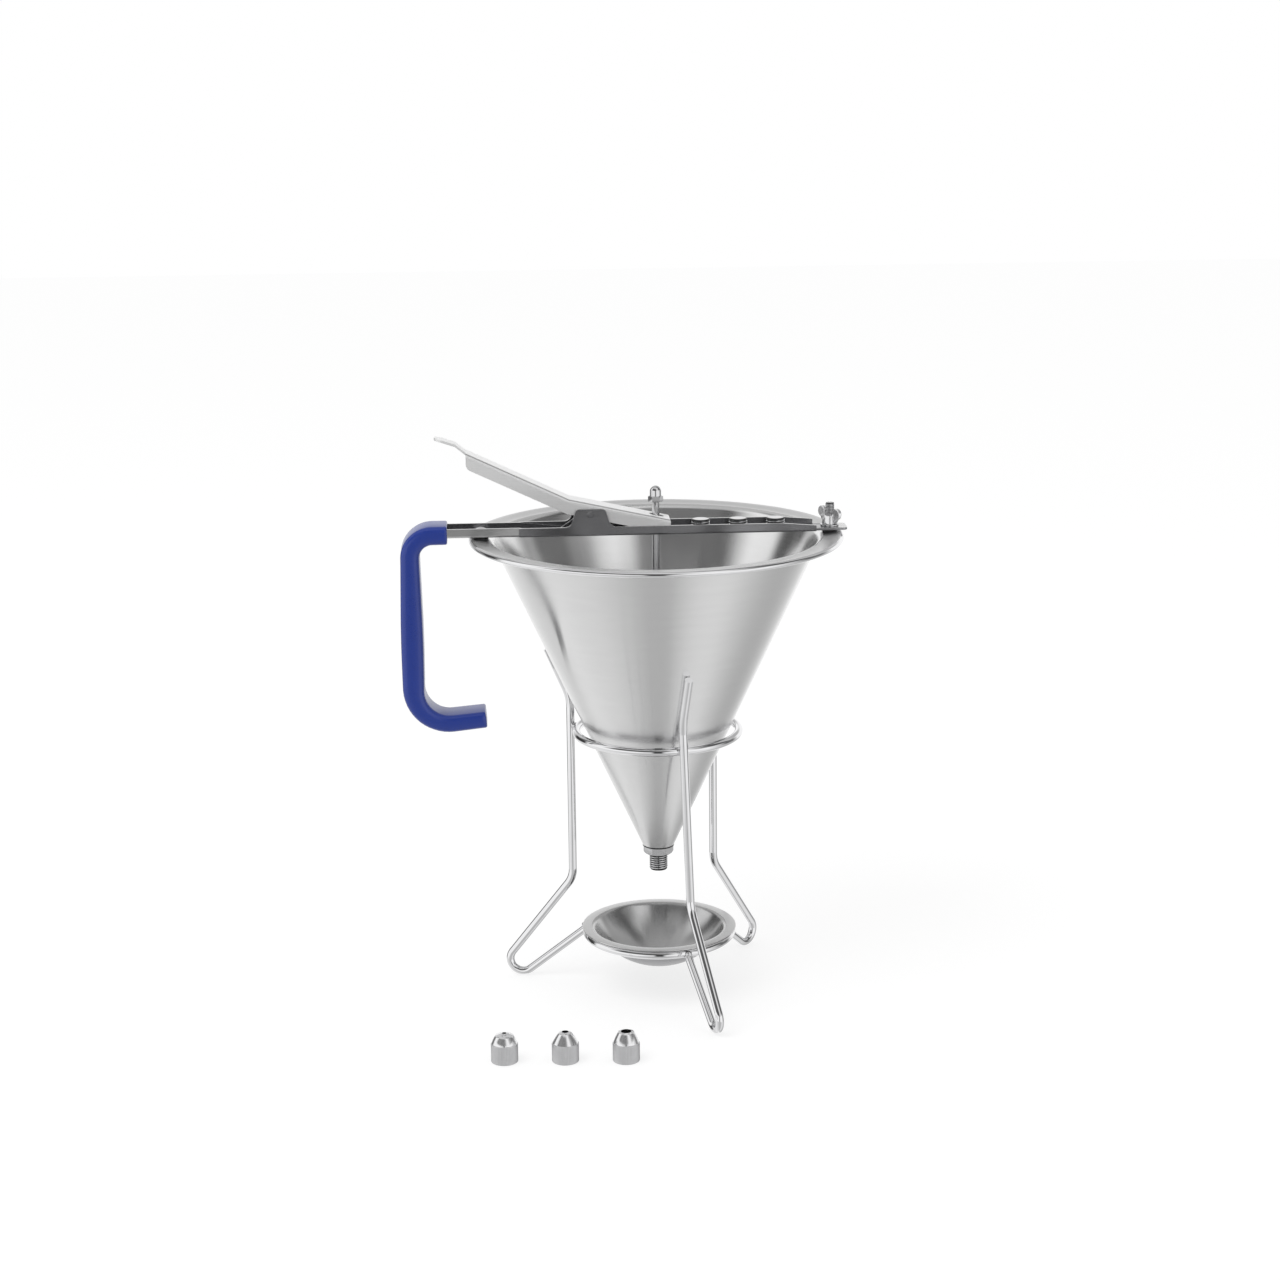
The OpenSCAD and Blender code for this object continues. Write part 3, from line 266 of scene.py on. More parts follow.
class FunnelFinishes(bpy.types.PropertyGroup):
    """Colours and sheens of the materials."""

    cone: tint("Cone", "Brushed steel of the cone", (0.80, 0.80, 0.80))
    bowl: tint("Bowl", "Brushed steel of the bowl", (0.58, 0.58, 0.58))
    # Painted shade: a darker grey than the bridge's steel is, standing in for the dark reflections on the
    # channel's walls. The bar's other faces, the pin heads and the handle's core take it too, and the bowl's
    # underside shade is made from it.
    bridge: tint("Bridge", "Brushed steel of the bridge", (0.33, 0.33, 0.34))
    bar: tint("Bar", "Brushed steel of the handle's bar", (0.66, 0.66, 0.66))
    lever: tint("Lever", "Satin steel of the lever", (0.82, 0.82, 0.82))
    # Painted highlight: a paler, less metallic copy of the lever's steel for its upward faces, where the
    # light from above falls.
    thumb: tint("Lever top", "Satin steel of the lever's upper side", (0.95, 0.95, 0.95))
    wire: tint("Wire", "Polished steel of the stand", (0.86, 0.86, 0.87))
    turned: tint("Turned", "Turned steel of the studs and the outlet", (0.72, 0.72, 0.73))
    # Painted shade: a near-black steel put in the threads' grooves, the outlet's seam, the nozzles' openings
    # and the bowl's lip, where shade falls.
    groove: tint("Groove", "Shaded steel in the threads' grooves and seams", (0.05, 0.05, 0.05))
    knurl: tint("Knurl", "Knurled steel of the nozzles", (0.66, 0.66, 0.67))
    grip: tint("Grip", "Moulded plastic of the grip", (0.008, 0.033, 0.26))
    pad: tint("Pad", "Dark plastic of the pads", (0.018, 0.018, 0.02))
    bush: tint("Bush", "White plastic of the rod's bush", (0.75, 0.75, 0.73))


class FunnelStudio(bpy.types.PropertyGroup):
    """Camera, floor and lamps."""

    lens: FloatProperty(name="Lens", description="Focal length in mm", default=74.07, min=20, max=200)
    eye: FloatVectorProperty(
        name="Eye",
        description="Place of the camera",
        default=(-0.08705, -1.37554, 0.46462),
        unit="LENGTH",
        precision=5,
    )
    turn: FloatProperty(name="Turn", description="The camera's turn to the right", default=3.246, precision=3)
    tilt: FloatProperty(name="Tilt", description="Tilt of the camera downwards", default=13.676, precision=3)
    roll: FloatProperty(name="Roll", description="Roll of the camera", default=-0.567, precision=3)
    panels: FloatProperty(name="Panels", description="Turn of the panels, in degrees", default=3.5)
    floor: FloatProperty(name="Floor", description="How bright the floor looks", default=1.18, min=0)
    lamp_size: FloatProperty(
        name="Lamp size", description="Diameter of the large lamp", default=1.2, unit="LENGTH"
    )
    lamp_place: FloatVectorProperty(
        name="Lamp place", description="Place of the large lamp", default=(-0.9, -0.7, 1.5), unit="LENGTH"
    )
    sky: FloatProperty(name="Sky", description="Light on matt surfaces from all sides", default=0.8, min=0)
    lamp: FloatProperty(name="Lamp", description="Power of the large lamp, in watts", default=9.0, min=0)


# Modelling helpers.


def only(piece):
    """Selects one object alone."""
    bpy.ops.object.select_all(action="DESELECT")
    piece.select_set(True)
    bpy.context.view_layer.objects.active = piece


def new_piece(name):
    """Names what a primitive has just made, selected alone and in edit mode."""
    piece = bpy.context.object
    piece.name = name
    bpy.ops.object.mode_set(mode="EDIT")
    bpy.ops.mesh.select_all(action="SELECT")
    return piece


def tidy(piece, angle=30.0):
    """Merges doubles, turns the faces outwards, applies the place and smooths up to an angle."""
    bpy.ops.object.mode_set(mode="EDIT")
    bpy.ops.mesh.select_all(action="SELECT")
    bpy.ops.mesh.remove_doubles(threshold=MERGE)
    bpy.ops.mesh.normals_make_consistent(inside=False)
    bpy.ops.object.mode_set(mode="OBJECT")
    only(piece)
    bpy.ops.object.transform_apply(location=True, rotation=True, scale=True)
    bpy.ops.object.shade_smooth_by_angle(angle=math.radians(angle))
    return piece


def apply_modifier(piece, kind, **settings):
    """Adds a modifier, sets it and applies it."""
    modifier = piece.modifiers.new(kind.title(), kind)
    for name, value in settings.items():
        setattr(modifier, name, value)
    only(piece)
    bpy.ops.object.modifier_apply(modifier=modifier.name)


def arc(centre, radius, start, end, steps=8):
    """Points on an arc, in degrees, in the plane of an outline."""
    angles = [math.radians(start + (end - start) * i / steps) for i in range(steps + 1)]
    return [(centre[0] + radius * math.cos(a), centre[1] + radius * math.sin(a)) for a in angles]


def turned(name, outline, centre=(0, 0, 0), steps=128, angle=30.0):
    """A turned body: one vertex is drawn along the outline, and the line is spun round the centre."""
    bpy.ops.object.select_all(action="DESELECT")
    bpy.ops.mesh.primitive_plane_add(
        size=MM, location=(centre[0] + outline[0][0], centre[1], centre[2] + outline[0][1])
    )
    piece = new_piece(name)
    bpy.ops.mesh.merge(type="CENTER")
    for (r0, z0), (r1, z1) in zip(outline, outline[1:]):
        bpy.ops.mesh.extrude_vertices_move(TRANSFORM_OT_translate={"value": (r1 - r0, 0, z1 - z0)})
    bpy.ops.mesh.select_all(action="SELECT")
    bpy.ops.mesh.spin(steps=steps, angle=math.tau, center=centre, axis=(0, 0, 1))
    bpy.ops.object.mode_set(mode="OBJECT")
    return tidy(piece, angle)


def lofted(name, rings, angle=40.0):
    """A skin through rings of points: a filled circle is extruded once a ring and drawn to the points."""
    count = len(rings[0])
    bpy.ops.object.select_all(action="DESELECT")
    bpy.ops.mesh.primitive_circle_add(vertices=count, radius=0.01, fill_type="NGON")
    piece = new_piece(name)
    for _ in rings[1:]:
        bpy.ops.mesh.extrude_region_move(TRANSFORM_OT_translate={"value": (0, 0, MM)})
    bpy.ops.object.mode_set(mode="OBJECT")
    for vertex in piece.data.vertices:
        level = round(vertex.co.z / MM)
        place = round(math.atan2(vertex.co.y, vertex.co.x) / math.tau * count) % count
        vertex.co = rings[level][place]
    return tidy(piece, angle)


def dressed(name, node, edge=0.0, angle=32.0):
    """A copy of a solid with its flat faces joined and its edges rounded."""
    piece = bpy.data.objects.new(name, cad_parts[node].data.copy())
    bpy.context.scene.collection.objects.link(piece)
    only(piece)
    bpy.ops.mesh.customdata_custom_splitnormals_clear()
    bpy.ops.object.mode_set(mode="EDIT")
    bpy.ops.mesh.select_all(action="SELECT")
    bpy.ops.mesh.remove_doubles(threshold=MERGE)
    bpy.ops.mesh.dissolve_limited(angle_limit=math.radians(0.5))
    bpy.ops.object.mode_set(mode="OBJECT")
    if edge:
        apply_modifier(
            piece,
            "BEVEL",
            width=edge,
            segments=3,
            limit_method="ANGLE",
            angle_limit=math.radians(angle),
        )
    only(piece)
    bpy.ops.object.shade_smooth_by_angle(angle=math.radians(angle))
    apply_modifier(piece, "WEIGHTED_NORMAL", keep_sharp=True, weight=50)
    return piece


def cut_thread(piece, centre, bottom, top, radius, depth, pitch):
    """Presses a thread into a finely ringed cylinder, from one height to another."""
    for vertex in piece.data.vertices:
        x, y, z = vertex.co.x - centre[0], vertex.co.y - centre[1], vertex.co.z
        reach = math.hypot(x, y)
        if reach < radius - 0.2 * MM or z < bottom - MERGE or z > top + MERGE:
            continue
        phase = ((z - bottom) / pitch - math.atan2(y, x) / math.tau) % 1
        tooth = min(1.0, max(0.0, abs(2 * phase - 1) * 2.2 - 0.4))
        ends = min(1.0, (z - bottom) / (0.5 * pitch) + 0.15, (top - z) / (0.5 * pitch) + 0.15)
        scale = (reach - depth * (1 - tooth) - depth * 0.6 * tooth * (1 - ends)) / reach
        vertex.co.x = centre[0] + x * scale
        vertex.co.y = centre[1] + y * scale


def cut_knurl(piece, centre, bottom, top, radius, depth, teeth):
    """Presses straight teeth into a cylinder, run out at both ends."""
    for vertex in piece.data.vertices:
        x, y, z = vertex.co.x - centre[0], vertex.co.y - centre[1], vertex.co.z
        reach = math.hypot(x, y)
        if reach < radius - 0.1 * MM or z < bottom or z > top:
            continue
        tooth = abs((math.atan2(y, x) / math.tau * teeth) % 1 * 2 - 1)
        scale = (reach - depth * tooth) / reach
        vertex.co.x = centre[0] + x * scale
        vertex.co.y = centre[1] + y * scale


def bodied(piece, body, material, slot, *nodes):
    """Gives a piece its material and its body, and hides the solids that it stands for. The slot is not used.
    """
    piece.data.materials.clear()
    piece.data.materials.append(material)
    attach(piece, body)
    if nodes:
        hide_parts(*nodes)
    return piece


def reach_of(face, centre=(0, 0)):
    """Distance of a face from an upright axis."""
    return math.hypot(face.center.x - centre[0], face.center.y - centre[1])


def faced(piece, material, chosen):
    """Gives the chosen faces of a piece a material of their own."""
    piece.data.materials.append(material)
    last = len(piece.data.materials) - 1
    for face in piece.data.polygons:
        if chosen(face):
            face.material_index = last


def grooved(piece, centre, radius, depth):
    """Paints shade into the grooves of a thread: their faces get a near-black steel."""

    def in_groove(face):
        return abs(face.normal.z) < 0.9 and radius * 0.75 < reach_of(face, centre) < radius - depth

    faced(piece, Finishes.get("groove"), in_groove)


def coat_node(node, material):
    """Gives a solid that stays a better material."""
    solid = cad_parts[node]
    for slot in solid.material_slots:
        slot.material = material


# Shader helpers.


class Wire:
    """One output of a shader node, with arithmetic on it."""

    def __init__(self, shader, output):
        self.shader = shader
        self.output = output

    def math(self, operation, first, second=0.0):
        return self.shader.add("ShaderNodeMath", {"operation": operation}, {0: first, 1: second})

    def __add__(self, other):
        return self.math("ADD", self, other)

    def __radd__(self, other):
        return self.math("ADD", other, self)

    def __sub__(self, other):
        return self.math("SUBTRACT", self, other)

    def __mul__(self, other):
        return self.math("MULTIPLY", self, other)

    def __rmul__(self, other):
        return self.math("MULTIPLY", other, self)

    def __truediv__(self, other):
        return self.math("DIVIDE", self, other)

    def __pow__(self, other):
        return self.math("POWER", self, other)

    def out(self, name):
        """Another output of the same node."""
        return Wire(self.shader, self.output.node.outputs[name])


class Shader:
    """Builds one node tree."""

    def __init__(self, tree):
        self.tree = tree
        tree.nodes.clear()

    def add(self, kind, settings=None, inputs=None, output=0):
        """Adds a node: its type, its settings with a ramp's stops, and its sockets' values or links."""
        node = self.tree.nodes.new(kind)
        for name, value in (settings or {}).items():
            if name == "stops":
                ramp = node.color_ramp
                while len(ramp.elements) > 1:
                    ramp.elements.remove(ramp.elements[-1])
                ramp.elements[0].position, shade = value[0]
                ramp.elements[0].color = (shade, shade, shade, 1)
                for place, shade in value[1:]:
                    ramp.elements.new(place).color = (shade, shade, shade, 1)
            else:
                setattr(node, name, value)
        for key, value in (inputs or {}).items():
            if isinstance(value, Wire):
                self.tree.links.new(value.output, node.inputs[key])
            else:
                node.inputs[key].default_value = value
        return Wire(self, node.outputs[output])

    def ramp(self, value, stops):
        """A grey ramp through stops of place and shade."""
        return self.add("ShaderNodeValToRGB", {"stops": stops}, {0: value})

    def mix(self, factor, first, second):
        """A colour between two."""
        return self.add("ShaderNodeMix", {"data_type": "RGBA"}, {0: factor, 6: first, 7: second}, 2)

    def noise(self, vector, scale=1.0, detail=3.0, roughness=0.5):
        inputs = {"Vector": vector, "Scale": scale, "Detail": detail, "Roughness": roughness}
        return self.add("ShaderNodeTexNoise", {}, inputs)

    def place(self, scale=(1, 1, 1)):
        """Object coordinates, stretched."""
        spot = self.add("ShaderNodeTexCoord", output="Object")
        return self.add("ShaderNodeVectorMath", {"operation": "MULTIPLY"}, {0: spot, 1: scale})

    def bump(self, height, strength, distance):
        return self.add("ShaderNodeBump", {}, {"Height": height, "Strength": strength, "Distance": distance})


def material(name):
    """A new material's shader."""
    made = bpy.data.materials.new(name)
    made.use_nodes = True
    return made, Shader(made.node_tree)


def surface(shader, **inputs):
    """The shader's surface: its sockets by their names, with spaces for underscores."""
    values = {name.replace("_", " "): value for name, value in inputs.items()}
    body = shader.add("ShaderNodeBsdfPrincipled", {}, values)
    output = shader.tree.nodes.new("ShaderNodeOutputMaterial")
    shader.tree.links.new(body.output, output.inputs["Surface"])


def rounded_grain(shader, across, around):
    """Coordinates for brushing that runs round the funnel's axis."""
    parts = shader.add("ShaderNodeSeparateXYZ", {}, {0: shader.place()})
    x, y, z = parts, parts.out("Y"), parts.out("Z")
    reach = (x * x + y * y + 1e-8) ** 0.5
    return shader.add(
        "ShaderNodeCombineXYZ",
        {},
        {0: x / reach * around, 1: y / reach * around, 2: (z + reach * 0.8) * across},
    )


def shade_of(colour, factor):
    return (colour[0] * factor, colour[1] * factor, colour[2] * factor, 1)


def brushed_round(name, colour, roughness, stretch):
    """Sheet steel brushed round the axis: fine rings, broader bands and a few scratches."""
    made, shader = material(name)
    fine = shader.noise(rounded_grain(shader, 2600, 5), 1.0, 3.0, 0.7)
    broad = shader.noise(rounded_grain(shader, 240, 3), 1.0, 2.0, 0.5)
    marks = shader.noise(shader.place(), 22.0, 3.0, 0.6)
    grain = fine * 0.6 + broad * 0.4
    surface(
        shader,
        Base_Color=shader.mix(grain, shade_of(colour, 0.94), shade_of(colour, 1.06)),
        Metallic=1.0,
        Roughness=roughness + (fine - 0.5) * 0.06 + (marks - 0.5) * 0.05,
        Anisotropic=stretch,
        Anisotropic_Rotation=0.25,
        Normal=shader.bump(fine, 0.05, 0.00002),
    )
    return made


def brushed_long(name, colour, roughness, strength, stretch, shine=1.0):
    """Sheet steel brushed along the bridge."""
    made, shader = material(name)
    fine = shader.noise(shader.place(scale=(60, 3200, 3200)), 1.0, 3.0, 0.7)
    broad = shader.noise(shader.place(scale=(18, 420, 420)), 1.0, 2.0, 0.5)
    grain = fine * 0.6 + broad * 0.4
    surface(
        shader,
        Base_Color=shader.mix(grain, shade_of(colour, 0.90), shade_of(colour, 1.10)),
        Metallic=shine,
        Roughness=roughness + (grain - 0.5) * 0.12,
        Anisotropic=stretch,
        Anisotropic_Rotation=0.25,
        Normal=shader.bump(fine, strength, 0.00002),
    )
    return made


def polished(name, colour, roughness, waviness, shine=1.0):
    """Polished steel: a faint unevenness of the sheen and of the form."""
    made, shader = material(name)
    cloud = shader.noise(shader.place(), 90.0, 3.0, 0.55)
    fine = shader.noise(shader.place(), 1400.0, 2.0, 0.6)
    surface(
        shader,
        Base_Color=shader.mix(cloud, shade_of(colour, 0.94), shade_of(colour, 1.05)),
        Metallic=shine,
        Roughness=roughness * (0.5 + cloud * 0.6 + fine * 0.4),
        Normal=shader.bump(cloud, waviness, 0.0002),
    )
    return made


def lathe_turned(name, colour, roughness, strength):
    """Turned steel: fine rings across the axis."""
    made, shader = material(name)
    rings = shader.noise(shader.place(scale=(120, 120, 7000)), 1.0, 3.0, 0.7)
    cloud = shader.noise(shader.place(), 320.0, 2.0, 0.5)
    surface(
        shader,
        Base_Color=shader.mix(rings * 0.6 + cloud * 0.4, shade_of(colour, 0.84), shade_of(colour, 1.14)),
        Metallic=1.0,
        Roughness=roughness + (rings - 0.5) * 0.22,
        Normal=shader.bump(rings, strength, 0.00002),
    )
    return made


def moulded(name, colour, roughness, grain, depth):
    """Moulded plastic: a fine grain, a soft mottle and a slight change of sheen."""
    made, shader = material(name)
    skin = shader.noise(shader.place(), grain, 4.0, 0.6)
    mottle = shader.noise(shader.place(), 38.0, 3.0, 0.5)
    surface(
        shader,
        Base_Color=shader.mix(mottle * 0.7 + skin * 0.3, shade_of(colour, 0.86), shade_of(colour, 1.14)),
        Roughness=roughness + (mottle - 0.5) * 0.10 + (skin - 0.5) * 0.10,
        IOR=1.46,
        Coat_Weight=0.4,
        Coat_Roughness=0.22,
        Normal=shader.bump(skin, 0.25, depth),
    )
    return made


# How each finish is made: its maker, its name, its colour's property and the maker's other values.
FINISHES = {
    "cone": (brushed_round, "Brushed Sheet", "cone", 0.18, 1.0),
    "weld": (polished, "Weld Beads", "turned", 0.22, 0.30),
    "bead": (polished, "Rolled Bead", "wire", 0.09, 0.01),
    "flange": (polished, "Satin Flange", "cone", 0.34, 0.02),
    # Painted shade: a darker steel for the bowl's underside.
    "under": (polished, "Dull Underside", "bridge", 0.34, 0.02),
    # Painted shade: the near-black steel of the grooves, the seam, the openings and the bowl's lip.
    "groove": (lathe_turned, "Thread Grooves", "groove", 0.40, 0.20),
    "bowl": (brushed_round, "Brushed Bowl", "bowl", 0.20, 1.0),
    # Painted shade: the bridge's darker grey.
    "bridge": (brushed_long, "Brushed Bridge", "bridge", 0.24, 0.10, 0.9),
    "bar": (brushed_long, "Brushed Bar", "bar", 0.30, 0.10, 0.6),
    # Painted highlight: a pale, matt copy of the steel for upward faces: the tab and the top edges of the
    # channel's walls and the bar.
    "tab": (brushed_long, "Pale Tab", "cone", 0.26, 0.08, 0.0),
    "fold": (polished, "Folded Edge", "lever", 0.30, 0.02),
    "thumb": (brushed_long, "Pale Top", "thumb", 0.42, 0.06, 0.0, 0.25),
    "lever": (brushed_long, "Satin Lever", "lever", 0.42, 0.06, 0.0, 0.6),
    "wire": (polished, "Polished Wire", "wire", 0.03, 0.03),
    "bright": (polished, "Bright Steel", "turned", 0.12, 0.06),
    "nose": (polished, "Polished Nose", "wire", 0.09, 0.03, 0.82),
    "rod": (polished, "Ground Rod", "turned", 0.05, 0.02),
    "crest": (polished, "Thread Crests", "knurl", 0.10, 0.04),
    "cast": (polished, "Plated Casting", "wire", 0.10, 0.03, 0.75),
    "turned": (lathe_turned, "Turned Steel", "turned", 0.20, 0.15),
    "knurl": (lathe_turned, "Knurled Steel", "knurl", 0.36, 0.15),
    "grip": (moulded, "Blue Grip", "grip", 0.30, 1800.0, 0.00004),
    "pad": (moulded, "Dark Pad", "pad", 0.55, 1500.0, 0.00004),
    "bush": (moulded, "White Bush", "bush", 0.40, 1500.0, 0.00002),
}


class Finishes:
    """The materials, each made when it is first asked for."""

    made = {}

    @classmethod
    def get(cls, key):
        if key not in cls.made:
            maker, name, tone, *values = FINISHES[key]
            cls.made[key] = maker(name, getattr(bpy.context.scene.funnel_finishes, tone), *values)
        return cls.made[key]


# The pieces, one operator each.


class FUNNEL_OT_cone(bpy.types.Operator):
    """Turn the cone with its flange and its rolled bead"""

    bl_idname = "funnel.cone"
    bl_label = "Cone"

    def execute(self, context):
        s = context.scene.funnel_sheet
        low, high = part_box("funnel_cone")
        rim, top, bottom = high.x, high.z, low.z
        flange = top - s.drop
        mouth = rim - s.flange
        # The wall's slope depends on the sheet's thickness along it, so it is found in a few rounds.
        slope = math.radians(24)
        for _ in range(6):
            slope = math.atan((mouth - s.neck / 2 + s.sheet / math.cos(slope)) / (flange - bottom))
        tilt = math.degrees(slope)
        bend = mouth + s.bend * math.tan(math.radians(90 - tilt) / 2)
        edge = rim - s.bead / 2
        bead = (edge, top - s.bead / 2)
        climb = []
        for i in range(1, 8):
            part = i / 8
            climb.append((bend + (edge - bend) * part, flange + s.drop * part**2 * (3 - 2 * part)))
        fall = math.degrees(math.asin((flange - s.sheet - bead[1]) / (s.bead / 2)))
        outline = (
            [(s.neck / 2 - s.sheet / math.cos(slope), bottom)]
            + arc((bend, flange - s.bend), s.bend, 180 - tilt, 90, 10)
            + climb
            + arc(bead, s.bead / 2, 90, -180 - fall, 20)
            + arc((bend, flange - s.bend), s.bend - s.sheet, 90, 180 - tilt, 10)
            + [(s.neck / 2, bottom), (s.neck / 2 - s.sheet / math.cos(slope), bottom)]
        )
        (r0, z0), (r1, z1) = outline[:2]
        steps = 12
        wall = [(r0 + (r1 - r0) * i / steps, z0 + (z1 - z0) * i / steps) for i in range(steps)]
        piece = turned("cone_sheet", wall + outline[1:], steps=192)
        bodied(piece, "funnel", Finishes.get("cone"), "brushed_sheet", "funnel_cone")
        inner = edge - 0.1 * s.bead
        start = bend - 0.5 * MM
        faced(piece, Finishes.get("flange"), lambda f: f.normal.z > 0.5 and start < reach_of(f) < inner)
        faced(piece, Finishes.get("bead"), lambda f: reach_of(f) >= inner)
        return {"FINISHED"}


class FUNNEL_OT_outlet(bpy.types.Operator):
    """Cut the outlet's thread and round its collar"""

    bl_idname = "funnel.outlet"
    bl_label = "Outlet"

    def execute(self, context):
        d = context.scene.funnel_detail
        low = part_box("outlet_fitting")[0]
        radius = THREAD / 2
        rings = 60
        bore = d.bore / 2
        chamfer = 0.3 * MM
        start, collar = low.z + THREAD_DEPTH, low.z + d.spigot
        outline = (
            [(bore, collar), (bore, low.z + chamfer), (bore + chamfer, low.z), (radius - THREAD_DEPTH, low.z)]
            + [(radius, start + (collar - start) * i / rings) for i in range(rings + 1)]
            + [(bore, collar)]
        )
        thread = turned("outlet_thread", outline, steps=72, angle=50)
        cut_thread(thread, (0, 0), low.z + 0.4 * MM, collar - 0.6 * MM, radius, THREAD_DEPTH, d.pitch)
        bodied(thread, "funnel", Finishes.get("crest"), "turned_steel", "outlet_fitting")
        grooved(thread, (0, 0), radius, GROOVE_DEPTH)
        body = dressed("outlet_collar", "outlet_fitting")
        bpy.ops.object.mode_set(mode="EDIT")
        bpy.ops.mesh.select_all(action="SELECT")
        bpy.ops.mesh.bisect(
            plane_co=(0, 0, collar + 0.02 * MM), plane_no=(0, 0, 1), use_fill=True, clear_inner=True
        )
        bpy.ops.object.mode_set(mode="OBJECT")
        apply_modifier(
            body, "BEVEL", width=0.2 * MM, segments=3, limit_method="ANGLE", angle_limit=math.radians(20)
        )
        bpy.ops.object.shade_smooth_by_angle(angle=math.radians(30))
        bodied(body, "funnel", Finishes.get("turned"), "turned_steel")
        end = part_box("funnel_cone")[0].z
        reach = context.scene.funnel_sheet.neck / 2
        # Painted shade: a thin ring of near-black steel where the cone meets the collar.
        seam = turned("outlet_seam", [(reach + r * MM, end + z * MM) for r, z in SEAM_SHADE_OUTLINE], steps=96)
        bodied(seam, "funnel", Finishes.get("groove"), "turned_steel")
        return {"FINISHED"}


class FUNNEL_OT_bridge(bpy.types.Operator):
    """Round the edges of the bridge and the bar, and finish what they carry"""

    bl_idname = "funnel.bridge"
    bl_label = "Bridge"

    def execute(self, context):
        d = context.scene.funnel_detail
        edge = d.edge * 0.6
        # Upward faces over this height, a little above the channel's floor, are the walls' top edges.
        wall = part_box("storage_stud_1")[0].z + 1.5 * MM
        channel = dressed("bridge_sheet", "bridge_channel", edge)
        # The channel takes the darker grey that paints shade on its walls.
        bodied(channel, "funnel", Finishes.get("bridge"), "dark_sheet", "bridge_channel")
        # Painted highlight: the tab's and the walls' upward faces get the pale, matt steel.
        faced(
            channel,
            Finishes.get("tab"),
            lambda f: f.normal.z > FACING and (f.center.x > d.tab or f.center.z > wall),
        )
        bar = dressed("bar_sheet", "handle_bar", edge)
        # The bar takes the same painted shade. Its outward faces get the paler bar steel, and its top edges
        # the pale highlight.
        bodied(bar, "funnel", Finishes.get("bridge"), "dark_sheet", "handle_bar")
        faced(bar, Finishes.get("bar"), lambda f: f.normal.y * f.center.y > 0 and abs(f.normal.y) > FACING)
        # Painted highlight on the bar's top edges, as on the channel's.
        faced(bar, Finishes.get("tab"), lambda f: f.normal.z > FACING and f.center.z > wall)
        head = dressed("hook_head", "hook_stud")
        bodied(head, "funnel", Finishes.get("bright"), "turned_steel", "hook_stud")
        pin = dressed("pin_heads", "pivot_pin")
        bodied(pin, "funnel", Finishes.get("bridge"), "turned_steel", "pivot_pin")
        coat_node("pad_left", Finishes.get("pad"))
        coat_node("pad_right", Finishes.get("pad"))
        coat_node("rod_guide_bush", Finishes.get("bush"))
        coat_node("handle_core", Finishes.get("bridge"))
        return {"FINISHED"}


class FUNNEL_OT_lever(bpy.types.Operator):
    """Round the edges of the pressed lever, and finish its spring"""

    bl_idname = "funnel.lever"
    bl_label = "Lever"

    def execute(self, context):
        d = context.scene.funnel_detail
        piece = dressed("lever_sheet", "lever", d.edge)
        bodied(piece, "lever", Finishes.get("lever"), "satin_sheet", "lever")
        # The folds lean to the side between these parts of the normal. The top leans less, the flanges more.
        least, most = 0.12, 0.93
        faced(piece, Finishes.get("fold"), lambda f: f.normal.z > 0.35 and least < abs(f.normal.y) < most)
        # Painted highlight: the lever's upward faces get a paler, less metallic steel than its sides.
        faced(piece, Finishes.get("thumb"), lambda f: f.normal.z > 0.5 and abs(f.normal.y) <= least)
        coat_node("return_spring", Finishes.get("bright"))
        return {"FINISHED"}


class FUNNEL_OT_valve(bpy.types.Operator):
    """Finish the rod, its cone and the acorn nut"""

    bl_idname = "funnel.valve"
    bl_label = "Valve"

    def execute(self, context):
        nut = dressed("acorn_nut", "cap_nut")
        bodied(nut, "cap", Finishes.get("rod"), "polished_steel", "cap_nut")
        coat_node("valve_rod", Finishes.get("rod"))
        coat_node("valve_cone", Finishes.get("turned"))
        return {"FINISHED"}


class FUNNEL_OT_studs(bpy.types.Operator):
    """Cut the threads of the three storage studs"""

    bl_idname = "funnel.studs"
    bl_label = "Storage Studs"

    def execute(self, context):
        d = context.scene.funnel_detail
        for place in (1, 2, 3):
            node = f"storage_stud_{place}"
            low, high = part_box(node)
            centre = (low + high) / 2
            radius = (high.x - low.x) / 2
            rings = 44
            chamfer = 0.7 * MM
            height = high.z - low.z - chamfer
            outline = (
                [(0, low.z)]
                + [(radius, low.z + height * i / rings) for i in range(rings + 1)]
                + [(radius - chamfer, high.z), (radius - 2 * chamfer, high.z), (0, high.z)]
            )
            stud = turned(f"storage_thread_{place}", outline, (centre.x, centre.y, 0), 64, 50)
            cut_thread(stud, centre, low.z, high.z - 0.9 * MM, radius, THREAD_DEPTH, d.pitch)
            bodied(stud, "funnel", Finishes.get("crest"), "turned_steel", node)
            grooved(stud, centre, radius, GROOVE_DEPTH)
        return {"FINISHED"}


